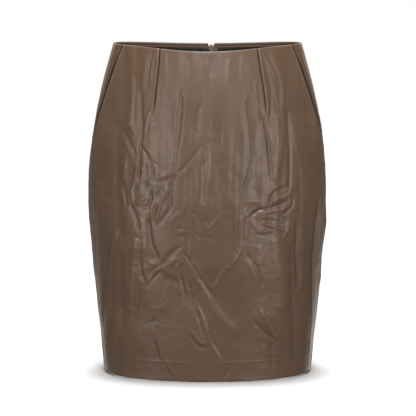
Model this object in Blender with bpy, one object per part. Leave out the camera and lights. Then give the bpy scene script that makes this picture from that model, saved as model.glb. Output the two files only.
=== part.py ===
"""Faux leather pencil skirt, filled out as it is when worn.

Metres, +Z up. The front faces -Y, and the wearer's left is at +X.
The origin is the centre of the waist opening, level with the waist edge at centre front.

The cloth is one smooth form of superellipse sections, pressed into folds, and cut into pieces:
a front with two darts and slanted pocket mouths, a bearer behind each mouth, two back panels
with a zip between them, a narrow facing inside the waist and a lining.
Every piece is a grid laid on that form, and its wall is the same grid moved inwards.
"""

import math

import bmesh
import bpy
import numpy as np
from mathutils import Matrix, Vector

MM = 0.001

# ---------------------------------------------------------------- driving dimensions
SIDE_LENGTH = 0.5115        # top of the side seam to the hem
FRONT_DIP = 9.0 * MM        # the waist edge at centre front lies this far below the side seams
BACK_DIP = 8.0 * MM         # and at centre back
SIDE_TOP = FRONT_DIP        # height of the top of the side seams: centre front is at zero
HEM_LEVEL = SIDE_TOP - SIDE_LENGTH

CLOTH = 1.5 * MM            # coated cloth of the panels
FACING = 1.2 * MM           # turned-in strip at the waist
LINING = 1.0 * MM
TAPE = 0.8 * MM             # woven zip tape
SEAM_GAP = 0.3 * MM         # between pieces that are sewn together
LAYER_GAP = 0.3 * MM        # between a piece and the one it lies on

HEM_BAND = 30.0 * MM        # cloth turned up inside the hem
HEM_STEP = 1.2 * MM         # height over which the turned-up edge gains its thickness

FACING_HEIGHT = 7.0 * MM
FACING_SET_DOWN = 0.4 * MM  # its top edge lies this far below the waist edge
LINING_ABOVE_HEM = 22.0 * MM
LINING_HANG = 5.0 * MM      # the lining hangs this much further in than at the waist
LINING_HANG_DROP = 0.040    # and reaches that this far down

MOUTH_TOP_SHARE = 0.884     # pocket mouth at the waist, as a share of the half width
MOUTH_END_DROP = 0.148      # where the mouth runs into the side seam
MOUTH_CURVE = 0.9
BEARER_UNDERLAP = 24.0 * MM  # bearer hidden behind the front's edge
BEARER_DROP = 0.165
BEARER_FULL_RISE = 18.0 * MM  # the bearer comes up flush with the back where it is this wide
BEARER_EASE = 12.0 * MM     # the layers behind it begin to give way this far before its edge
BEARER_STEP = 10.0 * MM     # and have done so over this width
BEARER_FADE = 20.0 * MM     # they come back over this length, behind the seam and below the bearer
BEARER_CLEAR = 4.0 * MM     # which begins this far below it

ZIP_SHIFT = 6.0 * MM        # the zip's top stands this far towards the wearer's left
ZIP_LENGTH = 0.190
ZIP_FOOT = 0.030            # the lining closes below the zip over this length
NOTCH_HALF_WIDTH = 5.2 * MM  # the back edges part above the slider
NOTCH_DEPTH = 14.0 * MM
TAPE_WIDTH = 11.0 * MM
LINING_EDGE_LEFT = 11.6 * MM   # the lining leaves the left tape bare
LINING_EDGE_RIGHT = 3.6 * MM   # and covers most of the right one

# Horizontal sections of the skirt: each is |x / half_width|^power + |y / depth|^power = 1.
# drop is measured from the top of the side seam.
SECTION_COLUMNS = ("drop", "half_width", "front_depth", "back_depth", "power")
SECTIONS = (
    (0.000, 0.1455, 0.0980, 0.1040, 2.00),
    (0.060, 0.1622, 0.1080, 0.1180, 2.10),
    (0.105, 0.1720, 0.1130, 0.1260, 2.15),
    (0.152, 0.1805, 0.1170, 0.1320, 2.20),
    (0.230, 0.1851, 0.1210, 0.1350, 2.25),
    (0.295, 0.1826, 0.1210, 0.1300, 2.30),
    (0.395, 0.1738, 0.1160, 0.1200, 2.30),
    (0.5115, 0.1622, 0.1100, 0.1120, 2.30),
)

# Side seam, as a share of the half width: it stands forward of the widest line, most at the
# thighs, where the front hangs straight and the back is fuller.
SEAM_COLUMNS = ("drop", "share")
SIDE_SEAM = (
    (0.000, 0.966),
    (0.060, 0.974),
    (0.148, 0.987),
    (0.200, 0.955),
    (0.250, 0.915),
    (0.300, 0.893),
    (0.340, 0.896),
    (0.400, 0.928),
    (0.460, 0.955),
    (0.5115, 0.966),
)

# Largest folds. half_width is to where a fold has mostly faded, and height is above the plain
# cloth, so a trough is negative. Points are (across, drop) in millimetres, as seen square on.
FOLD_COLUMNS = ("height", "half_width", "points")
FRONT_FOLDS = (
    # right dart and the folds that fall from it
    (1.6, 7.0, ((-80, 4), (-84, 60), (-90, 100))),
    (-2.2, 7.0, ((-70, 4), (-77, 60), (-82, 100), (-88, 120))),
    (-3.0, 8.0, ((-102, 86), (-101, 130), (-103, 168), (-105, 214))),
    (2.2, 12.0, ((-118, 60), (-119, 120), (-108, 150), (-96, 125), (-84, 100))),
    (-1.8, 8.0, ((-101, 166), (-88, 186), (-84, 216), (-68, 218), (-50, 210))),
    (2.4, 12.0, ((-118, 200), (-112, 250), (-94, 250), (-88, 226))),
    (-3.4, 10.0, ((-92, 270), (-90, 305), (-76, 345))),
    (2.4, 13.0, ((-100, 320), (-96, 370), (-80, 350), (-62, 338), (-42, 330))),
    (-2.2, 9.0, ((-66, 350), (-46, 322), (-30, 330), (-10, 372), (22, 432))),
    # left dart and the folds that fall from it
    (-2.2, 7.0, ((78, 12), (86, 60), (94, 110), (90, 124))),
    (1.6, 7.0, ((86, 18), (94, 70), (97, 120))),
    (3.0, 13.0, ((104, 14), (120, 80), (118, 150), (114, 214))),
    (-3.0, 10.0, ((124, 110), (129, 170), (129, 226))),
    (-2.6, 9.0, ((66, 100), (72, 160), (58, 220), (50, 270), (50, 320), (36, 350))),
    (2.6, 9.0, ((76, 150), (68, 215), (58, 270), (55, 320), (32, 352), (8, 382))),
    (-2.8, 8.0, ((66, 276), (88, 260), (108, 256), (126, 248))),
    (1.8, 9.0, ((72, 292), (96, 276), (124, 264))),
    # long folds down the front and its sides
    (-2.4, 8.0, ((-40, 82), (-44, 150), (-50, 204), (-58, 244), (-56, 262), (-74, 284))),
    (2.2, 10.0, ((-48, 352), (-40, 400), (-24, 440))),
    (2.4, 9.0, ((-18, 396), (-4, 448), (18, 496))),
    (2.0, 14.0, ((-6, 386), (22, 436), (46, 462))),
    (-2.4, 13.0, ((143, 280), (143, 380), (138, 470))),
    (2.0, 10.0, ((132, 126), (148, 190), (153, 260), (159, 350), (158, 430))),
    (2.2, 16.0, ((70, 400), (98, 440), (108, 470))),
    (2.0, 11.0, ((-140, 300), (-155, 370), (-154, 440), (-148, 500))),
)
BACK_FOLDS = (
    (-2.2, 8.0, ((-72, 10), (-76, 70), (-80, 120))),
    (-2.2, 8.0, ((74, 10), (78, 70), (82, 122))),
    (2.0, 12.0, ((-96, 40), (-100, 130), (-92, 210))),
    (2.0, 12.0, ((98, 50), (104, 120), (98, 190))),
    (-2.4, 11.0, ((-58, 150), (-66, 240), (-90, 290))),
    (-2.4, 11.0, ((64, 170), (70, 250), (50, 310))),
    (-2.6, 12.0, ((-130, 250), (-70, 270), (-20, 262))),
    (2.2, 12.0, ((126, 300), (80, 284), (34, 290))),
    (2.2, 12.0, ((-40, 320), (-60, 400), (-50, 470))),
    (2.0, 14.0, ((44, 350), (84, 410), (70, 480))),
    (-2.2, 12.0, ((-128, 330), (-120, 400), (-104, 460))),
    (-2.0, 12.0, ((118, 360), (128, 430), (120, 490))),
)
FOLD_END = 0.22             # share of a fold's length over which it rises and fades
FOLD_END_START = 0.15       # of that rise, what is there at the fold's very end
FOLDS_FADE_AT_WAIST = 0.034  # folds reach their height this far below the waist edge
FOLDS_FADE_AT_SEAM = 0.045   # and fade this near the side seams, pockets and zip, in radians * depth

# Grid sizes, in cells
FRONT_COLUMN_CELLS = 40
BACK_COLUMN_CELLS = 16
ROW_CELLS = 36              # shared by the panels, so that their seam edges match
POCKET_CELLS = 4            # across the cloth that shows behind a pocket mouth
UNDERLAP_CELLS = 4          # across the bearer's hidden part
LINING_CELLS = (20, 12)

COLOURS = {
    "coated_cloth": ((0.155, 0.102, 0.073), 0.42, 0.0),
    "facing_cloth": ((0.160, 0.108, 0.080), 0.50, 0.0),
    "lining_cloth": ((0.016, 0.016, 0.018), 0.55, 0.0),
    "zip_tape": ((0.100, 0.066, 0.050), 0.85, 0.0),
    "zip_metal": ((0.180, 0.130, 0.105), 0.35, 0.8),
}


# ---------------------------------------------------------------- tables and sections
def smooth_column(table, columns, name, drop):
    """A column of a table, read at each drop along a smooth curve through its rows."""
    rows = np.array(table)
    at, value = rows[:, 0], rows[:, columns.index(name)]
    slope = np.gradient(value, at)
    i = np.clip(np.searchsorted(at, drop) - 1, 0, len(at) - 2)
    span = at[i + 1] - at[i]
    s = np.clip((drop - at[i]) / span, 0.0, 1.0)
    return (
        value[i] * (2 * s**3 - 3 * s**2 + 1)
        + value[i + 1] * (3 * s**2 - 2 * s**3)
        + span * (slope[i] * (s**3 - 2 * s**2 + s) + slope[i + 1] * (s**3 - s**2))
    )


def section(name, drop):
    return smooth_column(SECTIONS, SECTION_COLUMNS, name, drop)


def smooth_step(x):
    x = np.clip(x, 0.0, 1.0)
    return x * x * (3 - 2 * x)


def angle_at_share(share, drop):
    """Angle from centre front, or from centre back, where x is that share of the half width."""
    power = section("power", drop)
    share = np.clip(share, 1e-6, 1 - 1e-9)
    return np.arctan2(1.0, (share**-power - 1.0) ** (1.0 / power))


def seam_angle(drop):
    """Angle from centre front of the side seams."""
    return angle_at_share(smooth_column(SIDE_SEAM, SEAM_COLUMNS, "share", drop), drop)


def mouth_angle(drop):
    """Angle from centre front of the pocket mouths, which end in the side seams."""
    seam_share = smooth_column(SIDE_SEAM, SEAM_COLUMNS, "share", drop)
    down = np.clip(drop / MOUTH_END_DROP, 0.0, 1.0)
    share = MOUTH_TOP_SHARE + (seam_share - MOUTH_TOP_SHARE) * down**MOUTH_CURVE
    return angle_at_share(np.where(drop < MOUTH_END_DROP, share, seam_share), drop)


def girth_rate(angle, drop):
    """Metres along the cloth for each radian of angle."""
    depth = np.where(
        np.cos(angle) >= 0, section("front_depth", drop), section("back_depth", drop)
    )
    width = section("half_width", drop)
    return np.hypot(width * np.cos(angle), depth * np.sin(angle))


# ---------------------------------------------------------------- the skirt's form
def plain_point(angle, drop):
    """Point of the plain form. angle runs from centre front (0) by the wearer's left (90 degrees)."""
    power = section("power", drop)
    s, c = np.sin(angle), np.cos(angle)
    reach = (np.abs(s) ** power + np.abs(c) ** power) ** (-1.0 / power)
    depth = np.where(c >= 0, section("front_depth", drop), section("back_depth", drop))
    x = section("half_width", drop) * reach * s
    return np.stack([x, -depth * reach * c, SIDE_TOP - drop], axis=-1)


def outward(angle, drop):
    """Unit normal of the plain form."""
    step = 1e-4
    around = plain_point(angle + step, drop) - plain_point(angle - step, drop)
    down = plain_point(angle, drop + step) - plain_point(angle, drop - step)
    normal = np.cross(down, around)
    return normal / np.linalg.norm(normal, axis=-1, keepdims=True)


def waist_drop(angle):
    """How far the waist edge lies below the top of the side seams."""
    share = np.abs(plain_point(angle, np.zeros_like(angle))[..., 0]) / SECTIONS[0][1]
    dip = np.where(np.cos(angle) >= 0, FRONT_DIP, BACK_DIP)
    return dip * np.cos(0.5 * math.pi * np.clip(share, 0, 1)) ** 2


def distance_along(points, across, drop):
    """Distance to a line through points, and how far along it the nearest place is, 0 to 1."""
    best = np.full(across.shape, np.inf)
    along = np.zeros(across.shape)
    lengths = [math.dist(a, b) for a, b in zip(points, points[1:])]
    total, done = sum(lengths), 0.0
    for (ax, ay), (bx, by), length in zip(points, points[1:], lengths):
        share = ((across - ax) * (bx - ax) + (drop - ay) * (by - ay)) / length**2
        share = np.clip(share, 0.0, 1.0)
        away = np.hypot(across - ax - share * (bx - ax), drop - ay - share * (by - ay))
        nearer = away < best
        best = np.where(nearer, away, best)
        along = np.where(nearer, (done + share * length) / total, along)
        done += length
    return best, along


def fold_height(angle, drop):
    """Height of the folds above the plain form."""
    across = plain_point(angle, drop)[..., 0] / MM
    height = np.zeros_like(across)
    front = np.cos(angle) >= 0
    for folds, side in ((FRONT_FOLDS, front), (BACK_FOLDS, ~front)):
        for rise, half_width, points in folds:
            away, along = distance_along(points, across, drop / MM)
            ends = smooth_step(np.minimum(along, 1 - along) / FOLD_END + FOLD_END_START)
            height += np.where(side, rise * MM * ends * np.exp(-((away / half_width) ** 2)), 0)
    edge = np.where(front, mouth_angle(drop), seam_angle(drop))
    to_edge = np.abs(edge - np.abs(angle)) * girth_rate(angle, drop)
    to_zip = np.abs(math.pi - np.abs(angle)) * girth_rate(angle, drop)
    fade = smooth_step(to_edge / FOLDS_FADE_AT_SEAM) * smooth_step(to_zip / FOLDS_FADE_AT_SEAM)
    below_waist = drop - waist_drop(angle)
    return height * fade * smooth_step(below_waist / FOLDS_FADE_AT_WAIST)


def cloth_point(angle, drop, depth):
    """Point at a depth inwards from the outer face of the folded cloth."""
    lift = fold_height(angle, drop) - depth
    return plain_point(angle, drop) + outward(angle, drop) * lift[..., None]


# ---------------------------------------------------------------- layers inside the cloth
def bearer_depth(angle, drop):
    """Depth of the bearer's outer face: under the front's edge, then up to the side seam."""
    angle = np.abs(angle)
    mouth, seam = mouth_angle(drop), seam_angle(drop)
    width = (seam - mouth) * girth_rate(seam, drop)
    rise = np.clip(width / BEARER_FULL_RISE, 0.0, 1.0)
    bare = smooth_step((angle - mouth) / np.maximum(seam - mouth, 1e-4))
    return (CLOTH + LAYER_GAP) * (1.0 - rise * bare)


def pocket_thickness(angle, drop):
    """Extra depth that the layers behind the cloth need where a bearer lies."""
    folded = np.abs(angle)
    rate = girth_rate(folded, drop)
    start = mouth_angle(drop) - (BEARER_UNDERLAP + BEARER_EASE) / rate
    blend = smooth_step((folded - start) * rate / BEARER_STEP)
    inside = bearer_depth(angle, drop) * blend
    back = smooth_step((folded - seam_angle(drop)) * rate / BEARER_FADE)
    fade = 1.0 - smooth_step((drop - BEARER_DROP - BEARER_CLEAR) / BEARER_FADE)
    return inside * fade * (1.0 - back)


def facing_depth(angle, drop):
    return CLOTH + LAYER_GAP + pocket_thickness(angle, drop)


def lining_depth(angle, drop):
    hang = LINING_HANG * smooth_step(drop / LINING_HANG_DROP)
    return CLOTH + TAPE + 2 * LAYER_GAP + pocket_thickness(angle, drop) + hang


def zip_line(drop):
    """x of the centre-back line."""
    return ZIP_SHIFT * (1 - drop / SIDE_LENGTH)


def notch_half_width(below_edge):
    return SEAM_GAP / 2 + NOTCH_HALF_WIDTH * np.clip(1 - below_edge / NOTCH_DEPTH, 0, 1)


def back_edge_angle(side, drop, clear):
    """Angle of a back piece's edge, clear of the centre-back line. side is 1 for the wearer's left."""
    x = side * zip_line(drop) + clear
    behind = angle_at_share(np.abs(x) / section("half_width", drop), drop)
    return math.pi - np.sign(x) * behind


# ---------------------------------------------------------------- making objects
def make_collection(name):
    collection = bpy.data.collections.new(name)
    bpy.context.scene.collection.children.link(collection)
    return collection


def make_material(name):
    colour, roughness, metallic = COLOURS[name]
    material = bpy.data.materials.new(name)
    material.use_nodes = True
    shader = material.node_tree.nodes["Principled BSDF"]
    shader.inputs["Base Color"].default_value = (*colour, 1.0)
    shader.inputs["Roughness"].default_value = roughness
    shader.inputs["Metallic"].default_value = metallic
    material.diffuse_color = (*colour, 1.0)
    return material


def add_object(name, mesh_in_progress, material, collection):
    mesh = bpy.data.meshes.new(name)
    mesh_in_progress.to_mesh(mesh)
    mesh_in_progress.free()
    mesh.materials.append(material)
    mesh.shade_smooth()
    mesh.set_sharp_from_angle(angle=math.radians(40))
    made = bpy.data.objects.new(name, mesh)
    collection.objects.link(made)
    return made


def face_outwards(bm):
    bmesh.ops.recalc_face_normals(bm, faces=bm.faces)
    if bm.calc_volume(signed=True) < 0:
        bmesh.ops.reverse_faces(bm, faces=bm.faces)


def wall(name, across_shares, down_shares, place, material, collection):
    """A closed wall: a grid laid by place(u, v, inner=False), and its copy laid by inner=True."""
    columns, rows = len(across_shares) - 1, len(down_shares) - 1
    bm = bmesh.new()
    bmesh.ops.create_grid(bm, x_segments=columns, y_segments=rows, size=0.5)
    outer = list(bm.verts)
    extruded = bmesh.ops.extrude_face_region(bm, geom=bm.faces[:], use_keep_orig=True)
    inner = [v for v in extruded["geom"] if isinstance(v, bmesh.types.BMVert)]
    for verts, is_inner in ((outer, False), (inner, True)):
        cells = np.array([((v.co.x + 0.5) * columns, (v.co.y + 0.5) * rows) for v in verts])
        cells = np.rint(cells).astype(int)
        u, v_share = across_shares[cells[:, 0]], down_shares[cells[:, 1]]
        for vert, point in zip(verts, place(u, v_share, is_inner)):
            vert.co = point
    face_outwards(bm)
    return add_object(name, bm, material, collection)


def shares(cells, knots=None):
    """Even shares from 0 to 1, or shares bunched where knots, (in, out) pairs, are flat."""
    even = np.linspace(0.0, 1.0, cells + 1)
    if knots is None:
        return even
    before, after = zip(*knots)
    return np.interp(even, before, after)


# ---------------------------------------------------------------- outer panels
FRONT_COLUMNS = shares(FRONT_COLUMN_CELLS, ((0, 0), (0.10, 0.08), (0.90, 0.92), (1, 1)))
POCKET_COLUMNS = np.linspace(0, 1, POCKET_CELLS + 1)[1:]
BACK_COLUMNS = shares(BACK_COLUMN_CELLS, ((0, 0), (0.90, 0.94), (1, 1)))


def panel_rows():
    """Row shares of the panels: one at the foot of the facing, and two where the hem is turned up."""
    facing_foot = FACING_HEIGHT / SIDE_LENGTH
    rows = np.append(0.0, np.linspace(facing_foot, 1.0, ROW_CELLS))
    top, step = 1 - HEM_BAND / SIDE_LENGTH, HEM_STEP / SIDE_LENGTH
    clear = rows[(rows < top - 2 * step) | (rows > top + 2 * step)]
    return np.sort(np.append(clear, (top - step, top)))


PANEL_ROWS = panel_rows()


def side_edge(offset):
    """Edge that keeps half a seam gap from the side seam: offset -1 is in front of it, 1 behind."""
    def edge(drop):
        seam = seam_angle(drop)
        return seam + offset * 0.5 * SEAM_GAP / girth_rate(seam, drop)
    return edge


def front_edge(drop):
    """Front panel's edge: the pocket mouth, then the side seam."""
    mouth = mouth_angle(drop)
    return mouth - 0.5 * SEAM_GAP / girth_rate(mouth, drop)


def front_angle(u, drop):
    """Angle of a front column. u is 0 to 1 across the panel, and runs on to -1 and 2 at the seams."""
    edge, seam = front_edge(drop), side_edge(-1)(drop)
    beyond = edge + np.clip(np.abs(2 * u - 1) / 2 - 0.5, 0, 1) * (seam - edge)
    return np.where((u < 0) | (u > 1), np.sign(u - 0.5) * beyond, (2 * u - 1) * edge)


def back_angle(u, drop, side, clear):
    """Angle of a back column. u is 0 at the side seam and 1 where clear begins, at centre back."""
    start = side_edge(1)(drop)
    return side * (start + u * (back_edge_angle(side, drop, clear) - start))


def settle(angle_at, drop_at):
    """Angle and drop that agree: the waist dips with the angle, and the edges move with the drop."""
    angle = angle_at(drop_at(0.0))
    for _ in range(3):
        drop = drop_at(waist_drop(angle))
        angle = angle_at(drop)
    return angle, drop


def panel_depth(v, inner):
    """Depth of a panel's face: its inner face is deeper where the hem is turned up."""
    if not inner:
        return np.zeros_like(v)
    turned = v > 1 - (HEM_BAND + HEM_STEP / 2) / SIDE_LENGTH
    return np.where(turned, 2 * CLOTH, CLOTH)


def build_front_panel(material, collection):
    def place(u, v, inner):
        angle, drop = settle(lambda d: front_angle(u, d), lambda top: top + v * (SIDE_LENGTH - top))
        return cloth_point(angle, drop, panel_depth(v, inner))

    return wall("front_panel", FRONT_COLUMNS, PANEL_ROWS, place, material, collection)


def build_back_panel(name, side, material, collection):
    def place(u, v, inner):
        def angle_at(drop):
            return back_angle(u, drop, side, notch_half_width(drop - BACK_DIP))
        angle, drop = settle(angle_at, lambda top: top + v * (SIDE_LENGTH - top))
        return cloth_point(angle, drop, panel_depth(v, inner))

    return wall(name, BACK_COLUMNS, PANEL_ROWS, place, material, collection)


def build_bearer(name, side, material, collection):
    """The piece seen behind a pocket mouth, lying under the front's edge in the front's own grid."""
    columns = np.append(FRONT_COLUMNS[-UNDERLAP_CELLS - 1:], 1 + POCKET_COLUMNS)
    rows = PANEL_ROWS[PANEL_ROWS < BEARER_DROP / SIDE_LENGTH]

    def place(u, v, inner):
        angle, drop = settle(lambda d: front_angle(u, d), lambda top: top + v * (SIDE_LENGTH - top))
        depth = bearer_depth(angle, drop) + (CLOTH if inner else 0)
        return cloth_point(side * angle, drop, depth)

    return wall(name, columns, rows, place, material, collection)


# ---------------------------------------------------------------- facing, lining and tapes
def layer_place(angle_at, top, bottom, depth_at, thickness, follows_folds=True):
    """place() for a layer inside the panels, from top to bottom below the waist edge."""
    def place(u, v, inner):
        angle, drop = settle(lambda d: angle_at(u, d),
                             lambda dip: dip + top + v * (bottom - dip - top))
        depth = depth_at(angle, drop) + (thickness if inner else 0.0)
        if follows_folds:
            return cloth_point(angle, drop, depth)
        return plain_point(angle, drop) - outward(angle, drop) * depth[..., None]
    return place


def strip_place(angle_at, top, bottom, depth_at, thickness):
    """place() for a layer that keeps its height below the waist edge."""
    def place(u, v, inner):
        angle, drop = settle(lambda d: angle_at(u, d), lambda dip: dip + top + v * (bottom - top))
        return cloth_point(angle, drop, depth_at(angle, drop) + (thickness if inner else 0.0))
    return place


def lining_clear(clear, drop):
    """The lining keeps clear of the zip, and closes to a seam below it."""
    closing = smooth_step((drop - ZIP_LENGTH) / ZIP_FOOT)
    return clear + (SEAM_GAP / 2 - clear) * closing


def build_facings(material, collection):
    columns = np.concatenate((-POCKET_COLUMNS[::-1], FRONT_COLUMNS, 1 + POCKET_COLUMNS))
    place = strip_place(front_angle, FACING_SET_DOWN, FACING_HEIGHT, facing_depth, FACING)
    wall("waist_facing_front", columns, shares(1), place, material, collection)
    for name, side in (("waist_facing_back_left", 1), ("waist_facing_back_right", -1)):
        def angle_at(u, drop, side=side):
            return back_angle(u, drop, side, NOTCH_HALF_WIDTH)
        place = strip_place(angle_at, FACING_SET_DOWN, FACING_HEIGHT, facing_depth, FACING)
        wall(name, BACK_COLUMNS, shares(1), place, material, collection)


def build_linings(material, collection):
    top, bottom = FACING_HEIGHT + LAYER_GAP, SIDE_LENGTH - LINING_ABOVE_HEM
    rows = shares(LINING_CELLS[1], ((0, 0), (0.35, 0.12), (1, 1)))

    def across_front(u, drop):
        return (2 * u - 1) * side_edge(-1)(drop)

    place = layer_place(across_front, top, bottom, lining_depth, LINING, follows_folds=False)
    wall("lining_front", shares(LINING_CELLS[0]), rows, place, material, collection)
    for name, side, clear in (("lining_back_left", 1, LINING_EDGE_LEFT),
                              ("lining_back_right", -1, LINING_EDGE_RIGHT)):
        def across_back(u, drop, side=side, clear=clear):
            return back_angle(u, drop, side, lining_clear(clear, drop))
        place = layer_place(across_back, top, bottom, lining_depth, LINING, follows_folds=False)
        wall(name, shares(LINING_CELLS[0] // 2), rows, place, material, collection)


def build_zip_tapes(material, collection):
    top = FACING_HEIGHT + LAYER_GAP
    rows = shares(12, ((0, 0), (0.3, 0.08), (1, 1)))

    def tape_depth(angle, drop):
        return np.full_like(drop, CLOTH + LAYER_GAP)

    for name, side in (("zip_tape_left", 1), ("zip_tape_right", -1)):
        def across_tape(u, drop, side=side):
            inner = notch_half_width(drop - BACK_DIP) + LAYER_GAP
            return side * back_edge_angle(side, drop, TAPE_WIDTH + u * (inner - TAPE_WIDTH))
        place = layer_place(across_tape, top, ZIP_LENGTH, tape_depth, TAPE)
        wall(name, shares(2), rows, place, material, collection)


# ---------------------------------------------------------------- zip slider and pull tab
# Sizes across (x), down the cloth, and out of the cloth, from the pull tab's hinge line.
HINGE_BELOW_EDGE = 6.0 * MM
HINGE_OUT = 0.9 * MM
SLIDER_BODY = {"half_width": 3.2 * MM, "top": -3.5 * MM, "bottom": 6.5 * MM,
               "inside": -(CLOTH + TAPE + 2 * LAYER_GAP), "thickness": 2.2 * MM, "bevel": 0.6 * MM}
POST = {"half_width": 1.0 * MM, "inner": 1.0 * MM, "outer": 2.0 * MM}
BRIDGE_OUT = (1.7 * MM, 2.4 * MM)
PULL = {"half_thickness": 0.4 * MM, "bar": 0.45 * MM, "hole_end": 2.9 * MM, "limb": 1.3 * MM,
        "neck": 2.3 * MM, "wide": 3.0 * MM, "length": 14.0 * MM}


def zip_frame():
    """Matrix from (across, down, out) at the hinge line to the skirt's frame."""
    drop = BACK_DIP + HINGE_BELOW_EDGE
    angle = float(back_edge_angle(1, np.array(drop), np.array(0.0)))
    at = plain_point(np.array(angle), np.array(drop))
    below = plain_point(np.array(angle), np.array(drop + 10 * MM))
    slope = math.atan2(below[1] - at[1], at[2] - below[2])
    down = Vector((0, math.sin(slope), -math.cos(slope)))
    out = Vector((0, math.cos(slope), math.sin(slope)))
    hinge = Vector(at) + out * HINGE_OUT
    return Matrix((
        (1, down.x, out.x, hinge.x),
        (0, down.y, out.y, hinge.y),
        (0, down.z, out.z, hinge.z),
        (0, 0, 0, 1),
    ))


def add_box(bm, low, high):
    """A box between two corners (across, down, out)."""
    size = [h - l for l, h in zip(low, high)]
    middle = [(h + l) / 2 for l, h in zip(low, high)]
    matrix = Matrix.Translation(middle) @ Matrix.Diagonal((*size, 1))
    return bmesh.ops.create_cube(bm, size=1.0, matrix=matrix)["verts"]


def join_by_union(made, pieces):
    """Joins other objects into one with Boolean unions, and removes them."""
    for piece in pieces:
        union = made.modifiers.new("join_" + piece.name, "BOOLEAN")
        union.operation = "UNION"
        union.object = piece
    evaluated = made.evaluated_get(bpy.context.evaluated_depsgraph_get())
    joined = bpy.data.meshes.new_from_object(evaluated)
    made.modifiers.clear()
    made.data = joined
    for piece in pieces:
        bpy.data.objects.remove(piece)
    return made


def box_object(name, low, high, material, collection, bevel=0.0):
    bm = bmesh.new()
    add_box(bm, low, high)
    if bevel:
        bmesh.ops.bevel(bm, geom=bm.edges[:], offset=bevel, segments=1, affect="EDGES")
    return add_object(name, bm, material, collection)


def build_slider(frame, material, collection):
    """Body inside the cloth, two posts through the notch and a bridge outside."""
    body, post = SLIDER_BODY, POST
    plate_out = body["inside"] - HINGE_OUT
    made = box_object("zip_slider",
                      (-body["half_width"], body["top"], plate_out - body["thickness"]),
                      (body["half_width"], body["bottom"], plate_out),
                      material, collection, bevel=body["bevel"])
    bridge_in, bridge_out = BRIDGE_OUT[0] - HINGE_OUT, BRIDGE_OUT[1] - HINGE_OUT
    sunk = 0.2 * MM
    pieces = [
        box_object("post_top", (-post["half_width"], -post["outer"], plate_out - sunk),
                   (post["half_width"], -post["inner"], bridge_in + sunk), material, collection),
        box_object("post_bottom", (-post["half_width"], post["inner"], plate_out - sunk),
                   (post["half_width"], post["outer"], bridge_in + sunk), material, collection),
        box_object("bridge", (-post["half_width"], -post["outer"], bridge_in),
                   (post["half_width"], post["outer"], bridge_out), material, collection),
    ]
    made = join_by_union(made, pieces)
    made.matrix_world = frame
    return made


def build_pull(frame, material, collection):
    """Flat drop-shaped tab with an eye round the slider's bridge."""
    outline = bpy.data.curves.new("zip_pull_outline", "CURVE")
    outline.dimensions = "2D"
    outline.fill_mode = "BOTH"
    outline.extrude = PULL["half_thickness"]
    foot = PULL["length"] - PULL["wide"]
    arc = [math.pi * k / 8 for k in range(9)]
    rim = [(-PULL["neck"], -PULL["bar"]), (PULL["neck"], -PULL["bar"]),
           (PULL["neck"], PULL["hole_end"])]
    rim += [(PULL["wide"] * math.cos(a), foot + PULL["wide"] * math.sin(a)) for a in arc]
    rim += [(-PULL["neck"], PULL["hole_end"])]
    hole = [(-PULL["limb"], PULL["bar"]), (-PULL["limb"], PULL["hole_end"]),
            (PULL["limb"], PULL["hole_end"]), (PULL["limb"], PULL["bar"])]
    for points in (rim, hole):
        spline = outline.splines.new("POLY")
        spline.points.add(len(points) - 1)
        for point, (x, y) in zip(spline.points, points):
            point.co = (x, y, 0, 1)
        spline.use_cyclic_u = True
    curve = bpy.data.objects.new("zip_pull_curve", outline)
    collection.objects.link(curve)
    bpy.context.view_layer.update()
    evaluated = curve.evaluated_get(bpy.context.evaluated_depsgraph_get())
    bm = bmesh.new()
    flat = bpy.data.meshes.new_from_object(evaluated)
    bm.from_mesh(flat)
    bmesh.ops.remove_doubles(bm, verts=bm.verts, dist=1e-6)
    face_outwards(bm)
    bpy.data.objects.remove(curve)
    made = add_object("zip_pull", bm, material, collection)
    made.matrix_world = frame
    return made


# ---------------------------------------------------------------- the whole skirt
def main():
    for old in list(bpy.data.objects):
        bpy.data.objects.remove(old)
    collection = make_collection("pencil_skirt")
    cloth = make_material("coated_cloth")
    facing = make_material("facing_cloth")
    lining = make_material("lining_cloth")
    tape = make_material("zip_tape")
    metal = make_material("zip_metal")

    build_front_panel(cloth, collection)
    build_back_panel("back_panel_left", 1, cloth, collection)
    build_back_panel("back_panel_right", -1, cloth, collection)
    build_bearer("pocket_bearer_left", 1, cloth, collection)
    build_bearer("pocket_bearer_right", -1, cloth, collection)
    build_facings(facing, collection)
    build_linings(lining, collection)
    build_zip_tapes(tape, collection)
    frame = zip_frame()
    build_slider(frame, metal, collection)
    build_pull(frame, metal, collection)
    hinge = frame.translation
    print("zip hinge", tuple(round(c, 5) for c in hinge))


main()
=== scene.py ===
# %% [markdown]
# # A faux leather pencil skirt
#
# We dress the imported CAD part: every CAD node is replaced by a finer piece with the same form,
# and each piece gets a material.
# The skirt is one smooth form of level sections. Creases are pressed into that form,
# and the pieces are cut from it, so everything that lies together fits together.

# %% Load the frame
import math

import bmesh
import bpy
import numpy as np
from mathutils import Matrix, Vector


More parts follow.
